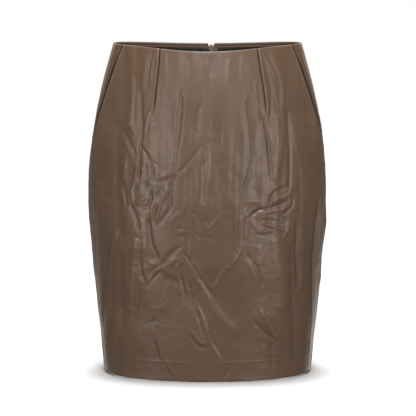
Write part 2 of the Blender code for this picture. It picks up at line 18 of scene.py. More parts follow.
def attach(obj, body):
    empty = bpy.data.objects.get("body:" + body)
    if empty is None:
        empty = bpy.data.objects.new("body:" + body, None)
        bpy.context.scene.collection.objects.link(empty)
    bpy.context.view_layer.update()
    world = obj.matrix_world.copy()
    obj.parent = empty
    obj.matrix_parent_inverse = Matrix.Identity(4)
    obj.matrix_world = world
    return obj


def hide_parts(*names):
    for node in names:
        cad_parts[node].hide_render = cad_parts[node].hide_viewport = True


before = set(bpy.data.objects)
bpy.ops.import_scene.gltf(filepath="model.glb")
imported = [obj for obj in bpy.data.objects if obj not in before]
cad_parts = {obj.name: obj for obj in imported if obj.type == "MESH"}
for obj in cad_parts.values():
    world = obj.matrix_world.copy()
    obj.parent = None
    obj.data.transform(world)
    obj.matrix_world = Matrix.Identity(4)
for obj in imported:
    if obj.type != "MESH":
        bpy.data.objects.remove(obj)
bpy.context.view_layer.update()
MM = 0.001

# %% [markdown]
# ## Sizes
# All sizes are in metres, and most are written as millimetres times MM.
# The skirt is about 370 mm wide at the hips and 511 mm long at the side seams.

# %% Sizes
SIDE_LENGTH = 0.5115         # top of the side seam to the hem
FRONT_DIP, BACK_DIP = 9.0 * MM, 8.0 * MM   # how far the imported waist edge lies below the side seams
FRONT_EDGE_DIP, BACK_EDGE_DIP = 8.0 * MM, 6.8 * MM   # how far the soft edge sinks there
HEM_SAG = 2.3 * MM           # the hem hangs this much lower at centre front
SIDE_TOP = FRONT_DIP         # the waist edge at centre front is at height zero
HEM_LEVEL = SIDE_TOP - SIDE_LENGTH
CLOTH, FACING, LINING, TAPE = 1.5 * MM, 1.2 * MM, 1.0 * MM, 0.8 * MM
SEAM_GAP = 0.08 * MM         # sewn edges touch, and this only keeps their meshes apart
HEM_BAND = 30.0 * MM         # the cloth is turned up by this, so it is double there
FACING_HEIGHT = 7.0 * MM
LINING_ABOVE_HEM = 22.0 * MM
MOUTH_TOP_SHARE = 0.884      # a pocket mouth starts at this share of the waist's half width
MOUTH_END_DROP, MOUTH_CURVE = 0.148, 0.9     # it ends at the side seam, and 1 would be a straight line
BEARER_UNDERLAP, BEARER_DROP = 24.0 * MM, 0.165
BEARER_FULL_RISE = 18.0 * MM     # a bearer this wide comes up flush with the back
ZIP_SHIFT, ZIP_LENGTH = 6.0 * MM, 0.190      # at the waist the zip is this much to the wearer's left
NOTCH_HALF_WIDTH, NOTCH_DEPTH = 5.2 * MM, 14.0 * MM    # the open top of the zip
TAPE_WIDTH = 11.0 * MM
LINING_EDGES = {1: 11.6 * MM, -1: 3.6 * MM}   # clear of the zip: 1 is the wearer's left

HIP_DROP = 0.230
# Each row is a level section: |x / half_width|^power + |y / depth|^power = 1
SECTION_COLUMNS = ("drop", "half_width", "front_depth", "back_depth", "power")
SECTIONS = (
    (0.000, 0.1455, 0.0980, 0.1040, 2.00),
    (0.060, 0.1622, 0.1080, 0.1180, 2.10),
    (0.105, 0.1720, 0.1130, 0.1260, 2.15),
    (0.152, 0.1805, 0.1170, 0.1320, 2.20),
    (HIP_DROP, 0.1851, 0.1210, 0.1350, 2.25),
    (0.295, 0.1826, 0.1210, 0.1300, 2.30),
    (0.395, 0.1738, 0.1160, 0.1200, 2.30),
    (0.5115, 0.1622, 0.1100, 0.1120, 2.30),
)
# The side seam runs a little in front of the outline, at this share of the half width.
SEAM_COLUMNS = ("drop", "share")
SIDE_SEAM = (
    (0.000, 0.966), (0.060, 0.974), (0.148, 0.987), (0.200, 0.955), (0.250, 0.915),
    (0.300, 0.893), (0.340, 0.896), (0.400, 0.928), (0.460, 0.955), (0.5115, 0.966),
)

# %% [markdown]
# ## The form
# A smooth curve through each column of the table gives the section at any height.
# Angle 0 is centre front, and 90 degrees is the wearer's left side.

# %% Read the tables
def smooth_column(table, columns, name, drop):
    """A column of a table, read along a smooth curve through its rows."""
    rows = np.array(table)
    at, value = rows[:, 0], rows[:, columns.index(name)]
    slope = np.gradient(value, at)
    i = np.clip(np.searchsorted(at, drop) - 1, 0, len(at) - 2)
    span = at[i + 1] - at[i]
    s = np.clip((drop - at[i]) / span, 0.0, 1.0)
    return (value[i] * (2 * s**3 - 3 * s**2 + 1) + value[i + 1] * (3 * s**2 - 2 * s**3)
            + span * (slope[i] * (s**3 - 2 * s**2 + s) + slope[i + 1] * (s**3 - s**2)))


def section(name, drop):
    return smooth_column(SECTIONS, SECTION_COLUMNS, name, drop)


def smooth_step(x):
    """Rises smoothly from 0 to 1 as x does, and stays there."""
    x = np.clip(x, 0.0, 1.0)
    return x * x * (3 - 2 * x)


def nearness(distance, reach):
    """1 at no distance, falling off smoothly with the reach."""
    return np.exp(-((distance / reach) ** 2))


print("hips are", round(2 * float(section("half_width", np.array(HIP_DROP))) / MM), "mm wide")

# %% Points of the plain form
WAIST_HALF_WIDTH = SECTIONS[0][SECTION_COLUMNS.index("half_width")]


def plain_point(angle, drop):
    power = section("power", drop)
    s, c = np.sin(angle), np.cos(angle)
    reach = (np.abs(s) ** power + np.abs(c) ** power) ** (-1.0 / power)
    depth = np.where(c >= 0, section("front_depth", drop), section("back_depth", drop))
    x = section("half_width", drop) * reach * s
    return np.stack([x, -depth * reach * c, SIDE_TOP - drop], axis=-1)


def outward(angle, drop):
    """The direction straight out of the cloth, from two short steps on it."""
    step = 1e-4
    around = plain_point(angle + step, drop) - plain_point(angle - step, drop)
    down = plain_point(angle, drop + step) - plain_point(angle, drop - step)
    normal = np.cross(down, around)
    return normal / np.linalg.norm(normal, axis=-1, keepdims=True)


def waist_drop(angle):
    """How far the soft waist edge lies below the tops of the side seams."""
    share = np.abs(plain_point(angle, np.zeros_like(angle))[..., 0]) / WAIST_HALF_WIDTH
    fall = np.cos(0.5 * math.pi * np.clip(share, 0, 1))
    return np.where(np.cos(angle) >= 0, FRONT_EDGE_DIP * fall**2, BACK_EDGE_DIP * fall)

# %% Where the seams, the pocket mouths and the zip run
def angle_at_share(share, drop):
    """The angle at which the form is this share of its half width from the middle."""
    power = section("power", drop)
    share = np.clip(share, 1e-6, 1 - 1e-9)     # keeps clear of dividing by zero
    return np.arctan2(1.0, (share**-power - 1.0) ** (1.0 / power))


def seam_angle(drop):
    return angle_at_share(smooth_column(SIDE_SEAM, SEAM_COLUMNS, "share", drop), drop)


def mouth_angle(drop):
    seam_share = smooth_column(SIDE_SEAM, SEAM_COLUMNS, "share", drop)
    down = np.clip(drop / MOUTH_END_DROP, 0.0, 1.0)
    share = MOUTH_TOP_SHARE + (seam_share - MOUTH_TOP_SHARE) * down**MOUTH_CURVE
    return angle_at_share(np.where(drop < MOUTH_END_DROP, share, seam_share), drop)


def girth_rate(angle, drop):
    """Metres along the cloth for each radian."""
    depth = np.where(np.cos(angle) >= 0, section("front_depth", drop), section("back_depth", drop))
    return np.hypot(section("half_width", drop) * np.cos(angle), depth * np.sin(angle))


def zip_line(drop):
    return ZIP_SHIFT * (1 - drop / SIDE_LENGTH)


def notch_half_width(below_edge):
    return SEAM_GAP / 2 + NOTCH_HALF_WIDTH * np.clip(1 - below_edge / NOTCH_DEPTH, 0, 1)


def back_edge_angle(side, drop, clear):
    """Angle of an edge that keeps clear of the centre-back line."""
    x = side * zip_line(drop) + clear
    behind = angle_at_share(np.abs(x) / section("half_width", drop), drop)
    return math.pi - np.sign(x) * behind

# %% [markdown]
# ## Creases
# Each crease is a line drawn on the cloth. Its points are (along, drop) in
# millimetres: along is measured on the cloth from centre front, or from centre back.
# A negative height is a trough. A crisp line has a pointed profile, and the others are round.
# Sculpting them by hand would look as good, but a table can be read, corrected and run again.

# %% Creases of the front
# Each row: height, half width, 1 if it is crisp, and its points
FRONT_CREASES = (
    (-1.5, 1.8, 1, ((-84, 6), (-89, 24), (-92, 46), (-93, 66))),
    (1.0, 1.8, 0, ((-81, 8), (-86, 28), (-89, 50))),
    (1.8, 4.6, 0, ((-119, 47), (-118, 75), (-120, 101), (-122, 122), (-113, 131))),
    (0.8, 3.0, 0, ((-110, 61), (-110, 90), (-110, 115))),
    (1.1, 3.2, 0, ((-95, 19), (-100, 44), (-102, 67))),
    (-2.3, 3.4, 1, ((-104, 75), (-103, 100), (-101, 120), (-102, 142), (-104, 157), (-105, 180),
                    (-106, 206))),
    (0.8, 2.6, 0, ((-89, 94), (-95, 115), (-98, 136))),
    (0.7, 2.4, 0, ((-78, 89), (-77, 114), (-72, 134))),
    (-1.8, 2.2, 1, ((-103, 151), (-95, 162), (-87, 175), (-83, 190), (-83, 202))),
    (-1.4, 2.2, 1, ((-83, 202), (-72, 204), (-63, 202), (-52, 197), (-43, 189), (-34, 181),
                    (-25, 171), (-17, 160), (-10, 150))),
    (1.1, 2.4, 0, ((-100, 147), (-90, 159), (-82, 169), (-72, 179))),
    (0.8, 2.8, 0, ((-72, 197), (-63, 194), (-55, 189))),
    (0.7, 2.6, 0, ((-34, 191), (-28, 179), (-22, 168))),
    (-1.4, 2.6, 1, ((-135, 127), (-125, 140), (-116, 155), (-111, 168))),
    (0.9, 2.8, 0, ((-134, 138), (-127, 152), (-119, 167))),
    (-2.3, 2.8, 1, ((-39, 69), (-40, 96), (-42, 118), (-45, 144), (-47, 171), (-49, 192),
                    (-54, 208), (-56, 224), (-55, 240), (-58, 249))),
    (0.8, 2.8, 0, ((-46, 93), (-48, 133), (-52, 179))),
    (0.6, 3.2, 0, ((-33, 69), (-35, 111), (-39, 156))),
    (-1.5, 3.6, 0, ((-13, 90), (-16, 114), (-17, 136))),
    (0.6, 2.2, 0, ((-23, 123), (-24, 159))),
    (0.9, 2.2, 0, ((-2, 21), (-4, 66), (-7, 103), (-8, 138))),
    (-0.7, 2.2, 0, ((1, 33), (-1, 73), (-2, 99))),
    (0.9, 3.2, 0, ((5, 39), (6, 88), (2, 123), (-2, 142))),
    (1.0, 2.0, 0, ((0, 144), (1, 178), (-1, 216), (-3, 245))),
    (-1.5, 3.0, 0, ((-6, 171), (-4, 209), (-7, 241))),
    (0.9, 3.6, 0, ((-16, 180), (-14, 209), (-18, 241))),
    (0.5, 4.0, 0, ((33, 18), (31, 51), (31, 78))),
    (0.5, 2.6, 0, ((51, 18), (52, 58))),
    (-0.8, 2.6, 0, ((67, 48), (70, 74))),
    (0.5, 3.0, 0, ((-64, 9), (-64, 44), (-62, 81))),
    (-0.5, 3.0, 0, ((-54, 24), (-52, 66))),
    (0.5, 3.2, 0, ((-33, 18), (-31, 54))),
    (-0.5, 3.4, 0, ((22, 73), (20, 141), (22, 209))),
    (-1.2, 2.8, 0, ((88, 22), (94, 43), (99, 67), (99, 94), (96, 113))),
    (0.9, 2.6, 0, ((88, 13), (98, 31), (108, 51))),
    (-0.8, 2.0, 1, ((88, 8), (98, 22), (110, 42), (113, 52))),
    (1.5, 3.6, 0, ((99, 9), (111, 30), (118, 53), (120, 77), (117, 101))),
    (-0.8, 2.2, 0, ((103, 9), (109, 21), (116, 35))),
    (0.8, 2.8, 0, ((103, 58), (109, 78), (113, 96))),
    (-0.7, 2.4, 0, ((108, 67), (114, 88))),
    (2.4, 8.5, 0, ((109, 100), (111, 143), (108, 180), (103, 207))),
    (0.8, 3.0, 0, ((119, 101), (119, 128), (115, 161), (113, 185))),
    (-1.8, 2.8, 1, ((85, 100), (89, 124), (94, 146), (96, 180), (99, 207))),
    (0.9, 2.2, 0, ((83, 112), (88, 145), (93, 187))),
    (-2.2, 4.2, 1, ((128, 98), (128, 128), (130, 158), (130, 189), (128, 219))),
    (1.1, 4.0, 0, ((134, 110), (140, 141), (147, 167), (154, 199), (154, 236), (154, 262))),
    (1.2, 4.0, 0, ((150, 273), (156, 306), (154, 353), (158, 396))),
    (-2.4, 4.6, 1, ((60, 75), (63, 99), (66, 123), (68, 149), (68, 169))),
    (-2.0, 3.0, 1, ((68, 166), (62, 194), (54, 217), (49, 239), (48, 278), (46, 301), (42, 319))),
    (1.0, 3.0, 0, ((73, 54), (76, 89), (77, 126))),
    (0.9, 2.2, 0, ((73, 141), (69, 172), (65, 203))),
    (1.9, 2.6, 0, ((55, 250), (53, 285), (50, 311), (43, 324), (36, 330))),
    (1.3, 3.6, 0, ((36, 330), (27, 338), (19, 350), (10, 370))),
    (0.6, 4.0, 0, ((48, 93), (55, 131), (57, 165))),
    (1.2, 6.0, 0, ((54, 236), (66, 235), (80, 232))),
    (-2.5, 3.2, 1, ((62, 261), (70, 254), (79, 248), (90, 246))),
    (-2.0, 2.6, 1, ((87, 246), (100, 245), (113, 240), (126, 236))),
    (1.3, 2.6, 0, ((96, 238), (111, 232), (126, 227), (133, 221))),
    (-1.8, 2.6, 1, ((95, 242), (98, 228), (104, 221), (114, 217), (125, 214))),
    (-0.9, 2.0, 0, ((114, 229), (126, 221))),
    (1.1, 2.2, 0, ((83, 254), (98, 251), (114, 249), (126, 247))),
    (1.3, 2.4, 0, ((82, 264), (93, 271), (106, 276), (123, 282))),
    (-1.2, 2.2, 0, ((77, 267), (90, 263), (106, 266))),
    (-1.2, 2.4, 0, ((74, 284), (88, 287), (103, 284))),
    (-1.3, 2.2, 0, ((135, 229), (134, 244), (123, 253), (114, 258))),
    (1.5, 3.2, 0, ((128, 264), (127, 280), (121, 291))),
    (-0.9, 2.2, 0, ((113, 258), (130, 268))),
    (0.9, 2.6, 0, ((66, 263), (71, 272), (78, 277))),
    (-2.6, 4.4, 1, ((141, 267), (143, 289), (142, 320), (145, 352), (146, 379))),
    (-1.8, 7.0, 0, ((134, 299), (133, 343), (135, 390), (139, 438), (142, 492))),
    (2.4, 13.0, 0, ((105, 288), (111, 320), (115, 357), (116, 408))),
    (1.5, 3.2, 0, ((63, 327), (70, 343), (78, 360))),
    (-1.3, 3.0, 0, ((69, 324), (78, 343), (86, 367))),
    (-1.2, 3.4, 0, ((60, 312), (65, 327))),
    (-1.8, 3.2, 1, ((72, 419), (88, 436), (106, 452))),
    (2.0, 4.6, 0, ((81, 401), (92, 420), (104, 440), (113, 451))),
    (1.1, 3.6, 0, ((86, 454), (91, 471), (95, 483))),
    (-0.8, 3.0, 0, ((45, 439), (41, 459), (38, 475))),
    (-1.0, 3.0, 0, ((98, 452), (101, 474), (103, 495))),
    (2.2, 9.5, 0, ((-25, 322), (-14, 354), (-3, 378), (11, 401), (21, 415), (32, 426), (42, 434))),
    (-2.0, 2.8, 1, ((-39, 312), (-31, 319), (-24, 330), (-14, 347))),
    (-1.8, 3.4, 0, ((-14, 347), (-5, 361), (8, 381))),
    (1.8, 2.4, 0, ((-16, 392), (-7, 414), (-1, 432), (4, 451), (12, 465), (21, 481))),
    (-1.4, 2.4, 0, ((2, 429), (8, 450), (15, 462))),
    (-1.2, 2.4, 0, ((-16, 406), (-10, 426), (-4, 448))),
    (-1.5, 3.4, 0, ((-28, 437), (-21, 450), (-13, 458), (1, 461))),
    (1.3, 3.0, 0, ((-24, 432), (-17, 445), (-11, 452), (-2, 454))),
    (1.3, 1.8, 0, ((-40, 327), (-47, 333), (-47, 344), (-43, 359), (-40, 375), (-36, 390), (-30, 401))),
    (-1.9, 2.0, 1, ((-41, 345), (-37, 364), (-32, 384))),
    (1.1, 2.0, 0, ((-37, 347), (-32, 367), (-27, 389), (-22, 418))),
    (-0.9, 2.6, 0, ((-28, 359), (-21, 386), (-14, 415))),
    (-2.6, 3.0, 1, ((-74, 335), (-68, 329), (-60, 319), (-51, 310), (-40, 303))),
    (1.5, 4.8, 0, ((-59, 333), (-48, 322), (-39, 327))),
    (1.9, 2.4, 0, ((-94, 360), (-84, 348), (-71, 334))),
    (-1.2, 3.0, 0, ((-87, 357), (-76, 345), (-67, 343))),
    (2.0, 3.6, 0, ((-97, 297), (-99, 328), (-93, 358))),
    (1.4, 5.0, 0, ((-90, 328), (-82, 331), (-74, 331))),
    (-2.9, 4.8, 1, ((-90, 260), (-88, 286), (-85, 303), (-79, 314), (-73, 326))),
    (-1.4, 2.2, 0, ((-104, 326), (-102, 344), (-99, 358))),
    (-1.4, 6.0, 0, ((-68, 349), (-54, 356), (-45, 363))),
    (0.9, 2.2, 0, ((-128, 173), (-133, 192), (-137, 211))),
    (1.5, 2.8, 0, ((-109, 177), (-113, 200), (-119, 220), (-117, 239))),
    (2.1, 4.4, 0, ((-114, 240), (-104, 234), (-93, 227))),
    (-1.8, 2.8, 0, ((-103, 247), (-91, 242), (-86, 231), (-87, 216))),
    (-1.3, 3.4, 0, ((-133, 207), (-130, 228), (-125, 247))),
    (-1.7, 3.0, 0, ((-121, 242), (-114, 252), (-108, 267), (-106, 284))),
    (1.7, 3.0, 0, ((-84, 242), (-87, 254), (-88, 265))),
    (1.9, 2.2, 0, ((-64, 218), (-71, 237), (-76, 252), (-79, 269))),
    (-1.8, 2.4, 1, ((-77, 237), (-81, 254), (-83, 266))),
    (-2.0, 2.8, 1, ((-74, 269), (-65, 256), (-57, 246))),
    (0.9, 2.0, 0, ((-81, 207), (-85, 227))),
    (1.0, 1.8, 0, ((-59, 206), (-62, 226))),
    (-1.1, 2.2, 0, ((-72, 214), (-77, 232))),
    (-1.0, 1.8, 0, ((-66, 209), (-68, 229))),
    (-1.2, 2.0, 0, ((-59, 217), (-59, 238))),
    (1.6, 2.8, 0, ((-113, 286), (-103, 279))),
    (-1.0, 2.0, 0, ((-113, 291), (-101, 292))),
    (0.8, 1.8, 0, ((-98, 175), (-102, 197), (-105, 220))),
    (-1.0, 2.2, 0, ((-96, 218), (-93, 206), (-88, 196))),
    (0.8, 3.6, 0, ((-57, 266), (-48, 256), (-39, 253))),
    (-1.1, 2.2, 0, ((-34, 251), (-30, 262), (-23, 273))),
    (-1.2, 2.2, 0, ((-25, 247), (-16, 256), (-11, 274))),
    (-0.9, 2.0, 0, ((-2, 258), (-2, 276))),
    (-0.9, 1.8, 0, ((-52, 275), (-37, 276))),
    (-1.1, 2.4, 0, ((-48, 285), (-34, 291))),
    (-1.1, 2.2, 0, ((-22, 279), (-14, 291))),
    (0.9, 1.8, 0, ((-25, 290), (-27, 319))),
    (1.0, 2.0, 0, ((-8, 277), (4, 274), (13, 263), (24, 247))),
    (0.9, 1.8, 0, ((-45, 280), (-28, 280))),
    (0.9, 2.2, 0, ((-15, 297), (-5, 291))),
    (-0.8, 2.4, 0, ((-4, 286), (10, 293))),
    (0.8, 2.2, 0, ((-37, 265), (-30, 276))),
    (1.2, 3.6, 0, ((-145, 282), (-153, 306), (-159, 333), (-165, 370), (-166, 401), (-174, 431))),
    (-1.1, 3.4, 0, ((-161, 295), (-167, 334), (-177, 379), (-185, 425))),
    (1.2, 4.2, 0, ((-142, 407), (-154, 456), (-162, 506))),
    (-0.8, 3.4, 0, ((-155, 389), (-160, 428), (-171, 466))),
    (1.2, 3.6, 0, ((-111, 292), (-116, 329), (-120, 366), (-124, 396))),
    (-0.9, 4.0, 0, ((-106, 369), (-111, 401), (-118, 420))),
    (-1.0, 4.4, 0, ((-89, 426), (-81, 418), (-76, 421))),
    (-1.3, 2.6, 0, ((-82, 447), (-78, 465), (-76, 481))),
    (0.9, 3.0, 0, ((-76, 451), (-73, 468), (-70, 479))),
    (1.5, 2.8, 0, ((-64, 477), (-58, 493), (-50, 505))),
    (-1.6, 10.0, 0, ((-141, 114), (-143, 174), (-141, 235), (-137, 297))),
    (-1.2, 8.0, 0, ((-136, 312), (-139, 375), (-135, 438))),
    (-1.7, 1.8, 0, ((30, 489), (30, 498), (27, 509))),
)

# %% Creases of the back
# No picture shows them, so they are guessed, of the same kinds as those of the front
BACK_CREASES = (
    (1.8, 4.6, 0, ((-118, 44), (-120, 96), (-114, 140))),
    (1.6, 4.4, 0, ((116, 50), (121, 104), (118, 150))),
    (-2.2, 3.4, 1, ((-101, 100), (-103, 150), (-98, 196), (-92, 232))),
    (-2.0, 3.2, 1, ((99, 110), (104, 160), (101, 214))),
    (-1.6, 2.8, 1, ((-46, 120), (-52, 178), (-60, 228), (-70, 262))),
    (0.9, 3.0, 0, ((-53, 130), (-60, 190))),
    (-1.5, 3.0, 0, ((40, 142), (46, 196), (40, 242))),
    (1.0, 3.0, 0, ((47, 150), (54, 204))),
    (-2.0, 2.8, 1, ((-98, 236), (-84, 262), (-66, 284), (-50, 312))),
    (1.4, 3.6, 0, ((-90, 230), (-74, 258), (-56, 282))),
    (-1.5, 2.4, 1, ((-66, 284), (-82, 296), (-100, 300))),
    (1.2, 2.6, 0, ((-62, 294), (-78, 306), (-98, 312))),
    (-1.3, 2.4, 0, ((-34, 214), (-28, 246), (-32, 280))),
    (0.9, 2.6, 0, ((-24, 220), (-18, 254), (-22, 290))),
    (-2.1, 2.8, 1, ((118, 226), (100, 240), (86, 262), (80, 290), (82, 322))),
    (1.4, 3.2, 0, ((108, 222), (90, 238), (76, 262), (70, 288))),
    (-1.5, 2.2, 1, ((86, 262), (68, 258), (54, 246))),
    (1.0, 2.4, 0, ((80, 272), (62, 268), (48, 258))),
    (-1.1, 2.2, 0, ((94, 252), (108, 262), (124, 266))),
    (-1.2, 2.6, 0, ((22, 250), (28, 286), (24, 318))),
    (0.9, 2.6, 0, ((32, 252), (38, 290), (34, 326))),
    (2.0, 5.0, 0, ((-56, 318), (-44, 360), (-30, 404), (-22, 448))),
    (-1.8, 3.0, 1, ((-70, 322), (-58, 366), (-46, 404))),
    (1.6, 2.4, 0, ((-84, 330), (-78, 380), (-66, 430), (-60, 470))),
    (2.2, 5.6, 0, ((40, 330), (56, 380), (66, 430))),
    (-2.0, 2.8, 1, ((56, 336), (74, 380), (84, 424))),
    (1.4, 2.4, 0, ((84, 340), (96, 392), (100, 450))),
    (-1.4, 2.8, 0, ((16, 400), (26, 440), (30, 480))),
    (1.0, 3.2, 0, ((8, 396), (18, 446), (20, 486))),
    (-1.6, 7.0, 0, ((-140, 300), (-138, 380), (-132, 460))),
    (-1.6, 7.0, 0, ((142, 330), (140, 400), (136, 480))),
    (1.2, 3.6, 0, ((-158, 250), (-162, 330), (-158, 420))),
    (1.2, 3.6, 0, ((160, 240), (166, 320), (160, 430))),
    (-1.2, 3.0, 0, ((-118, 420), (-110, 456), (-108, 490))),
    (1.4, 3.4, 0, ((-96, 440), (-90, 474), (-84, 500))),
)
print(len(FRONT_CREASES), "creases on the front and", len(BACK_CREASES), "on the back")

# %% [markdown]
# Four darts take in the waist. A dart is a stitched fold that narrows to a point, so on the
# outside it is a fine groove, and the fold behind it lifts the cloth on the side-seam side.

# %% Darts
FRONT_DARTS = (
    ((-74, 0), (-75, 24), (-77, 44), (-80, 69), (-82, 88), (-87, 110)),
    ((78, 0), (80, 22), (83, 40), (87, 64), (90, 85), (92, 112)),
)
BACK_DARTS = (
    ((-74, 0), (-76, 40), (-79, 80), (-83, 118)),
    ((76, 0), (78, 40), (82, 84), (86, 124)),
)
DART_GROOVE, DART_HALF_WIDTH, DART_POWER = 1.9, 1.0, 1.5     # mm, and the bend of its profile
DART_RIDGE, DART_RIDGE_AT, DART_RIDGE_WIDTH = 0.65, 2.6, 1.5   # mm
DART_FOLD, DART_FOLD_AT, DART_FOLD_REACH = 1.1, 3.0, 5.0     # mm, the fold behind it
DART_POINT = 30.0                            # mm over which it runs out


def dart_lines(front):
    """For each dart a function of x and y: how far a place is from it towards the side
    seam, and how much of the dart is left at that drop."""
    for points in FRONT_DARTS if front else BACK_DARTS:
        across, down = zip(*points)

        def place(x, y, across=across, down=down):
            beside = (x - np.interp(y, down, across)) * math.copysign(1, across[0])
            return beside, smooth_step((down[-1] - y) / DART_POINT)
        yield place


def dart_height(front, x, y):
    total = np.zeros_like(x)
    for place in dart_lines(front):
        beside, left = place(x, y)
        total += left * (DART_RIDGE * nearness(beside - DART_RIDGE_AT, DART_RIDGE_WIDTH)
                         - DART_GROOVE * np.exp(-np.abs(beside / DART_HALF_WIDTH) ** DART_POWER))
    return total * MM


def dart_share(front, x, y, reach, beyond=0.0):
    """1 on a line at some distance beyond the dart, falling off with the reach."""
    total = np.zeros_like(x)
    for place in dart_lines(front):
        beside, left = place(x, y)
        total += left * nearness(beside - beyond, reach)
    return total

# %% [markdown]
# The creases are drawn in distances on the cloth, so those are measured first.

# %% Distances on the cloth
GIRTH_STEPS, DROP_STEPS = 721, 60
ring_angles = np.linspace(0, 2 * math.pi, GIRTH_STEPS)
ring_drops = np.linspace(0, SIDE_LENGTH, DROP_STEPS)
rings = plain_point(*np.meshgrid(ring_angles, ring_drops))
ring_steps = np.linalg.norm(np.diff(rings, axis=1), axis=2)
GIRTH = np.concatenate([np.zeros((DROP_STEPS, 1)), np.cumsum(ring_steps, axis=1)], axis=1)
HIP_ROW = round(HIP_DROP / SIDE_LENGTH * (DROP_STEPS - 1))
print("girth at waist and hips, mm:", round(GIRTH[0, -1] / MM), round(GIRTH[HIP_ROW, -1] / MM))


def along(angle, drop):
    """Distance on the cloth from centre front (front) or centre back (back), in millimetres."""
    turn = np.abs(angle) / (2 * math.pi) * (GIRTH_STEPS - 1)
    level = np.clip(drop / SIDE_LENGTH, 0, 1) * (DROP_STEPS - 1)
    i = np.clip(turn.astype(int), 0, GIRTH_STEPS - 2)
    j = np.clip(level.astype(int), 0, DROP_STEPS - 2)
    a, b = turn - i, level - j
    way = ((1 - a) * (1 - b) * GIRTH[j, i] + a * (1 - b) * GIRTH[j, i + 1]
           + (1 - a) * b * GIRTH[j + 1, i] + a * b * GIRTH[j + 1, i + 1])
    half_round = 0.5 * ((1 - b) * GIRTH[j, -1] + b * GIRTH[j + 1, -1])
    return np.sign(angle) * np.where(np.cos(angle) >= 0, way, half_round - way) / MM


def line_distance(points, x, y):
    """Distance to a line through points, and how far along it, 0 to 1."""
    best, share = np.full(x.shape, np.inf), np.zeros(x.shape)
    lengths = [math.dist(a, b) for a, b in zip(points, points[1:])]
    total, done = sum(lengths), 0.0
    for (ax, ay), (bx, by), length in zip(points, points[1:], lengths):
        t = np.clip(((x - ax) * (bx - ax) + (y - ay) * (by - ay)) / length**2, 0.0, 1.0)
        away = np.hypot(x - ax - t * (bx - ax), y - ay - t * (by - ay))
        nearer = away < best
        best = np.where(nearer, away, best)
        share = np.where(nearer, (done + t * length) / total, share)
        done += length
    return best, share

# %% [markdown]
# Between the drawn creases the cloth isn't flat either: soft ripples hang from the waist,
# and the lower half is finely crumpled. Each is a sum of waves in random directions, which
# has no grid in it. Folded at its middle level, such a field becomes a net of sharp lines.

# %% Ripples and crumple
WAVES = 28
# Each row: seed, wave lengths across and down, height, 1 for a net of sharp lines, and the
# drops at which it fades in and out. All sizes are in millimetres.
RELIEF = (
    (3, 13.0, 110.0, 0.13, 0, 0, 330),
    (5, 27.0, 190.0, 0.30, 0, 0, 380),
    (7, 62.0, 54.0, 0.30, 1, 90, 600),
    (9, 27.0, 24.0, 0.12, 1, 100, 600),
    (11, 12.0, 11.0, 0.05, 0, 40, 600),
    (13, 120.0, 100.0, 0.75, 0, 60, 600),
)
RELIEF_FADE = 60.0
NET_LEVEL, NET_POWER = 0.6, 0.85      # where a net's lines stand, and how sharp they are
PATCH_SEED, PATCH_ACROSS, PATCH_DOWN, PATCH_CONTRAST = 2, 150.0, 130.0, 0.45
CALM = 0.45           # in the calm patches the relief has this share of its height


def wave_field(seed, across, down, x, y):
    """A smooth random field of about unit height, with waves near the two lengths."""
    random = np.random.default_rng(seed)
    total = np.zeros_like(x)
    for turn, stretch, phase in zip(random.uniform(0, 2 * math.pi, WAVES),
                                    random.uniform(0.65, 1.5, WAVES),
                                    random.uniform(0, 2 * math.pi, WAVES)):
        total += np.cos(2 * math.pi / stretch * (math.cos(turn) * x / across + math.sin(turn) * y / down)
                        + phase)
    return total * math.sqrt(2 / WAVES)


def relief_height(x, y):
    total = np.zeros_like(x)
    patches = wave_field(PATCH_SEED, PATCH_ACROSS, PATCH_DOWN, x, y)
    patches = smooth_step(0.5 + PATCH_CONTRAST * patches)
    for seed, across, down, rise, sharp, starts, ends in RELIEF:
        wave = wave_field(seed, across, down, x, y)
        wave = NET_LEVEL - np.abs(wave) ** NET_POWER if sharp else wave
        fade = smooth_step((y - starts) / RELIEF_FADE + (starts == 0))
        fade = fade * smooth_step((ends - y) / RELIEF_FADE)
        total += rise * MM * wave * fade * (CALM + (1 - CALM) * patches)
    return total

# %% [markdown]
# The height at a place is the sum of all creases near it and the fine relief. They fade
# towards the seams, so that the pieces on both sides meet.

# %% Add the creases up
CREASE_END, END_SHARE = 9.0, 0.25    # mm over which a crease fades at its ends, and what is left there
CREASE_REACH = 3.2      # half widths, past which a crease has no height worth adding
CRISP_POWER, ROUND_POWER = 1.35, 2.0      # the bend of the two profiles
TROUGH_GAIN, RIDGE_GAIN = 0.85, 0.72      # the drawn heights are a little strong
CRISP_SLIM, ROUND_SLIM = 0.68, 0.85       # and the drawn widths a little wide
BACK_SHIFT = 700        # mm, so that the back gets other ripples than the front
SEAM_FADE = 9.0 * MM
CENTRE_BACK_FADE = 3 * SEAM_FADE
WAIST_FADE, WAIST_SHARE = 14 * MM, 0.35   # the facing holds the cloth flatter at the waist
MOUTH_FADE, MOUTH_PUFF = 12.0 * MM, 1.1 * MM    # the pocket mouth's edge stands off this much
PUFF_START, PUFF_END = 25 * MM, 30 * MM   # how fast that starts at the waist, and ends at the seam
HEM_RIDGE, HEM_RIDGE_WIDTH = 0.30 * MM, 1.4 * MM   # the hem's turned edge, felt through the cloth


def hem_sag(angle):
    """How much lower the hem hangs: most at centre front, and nothing from the sides back."""
    return HEM_SAG * np.clip(np.cos(angle), 0, 1) ** 2


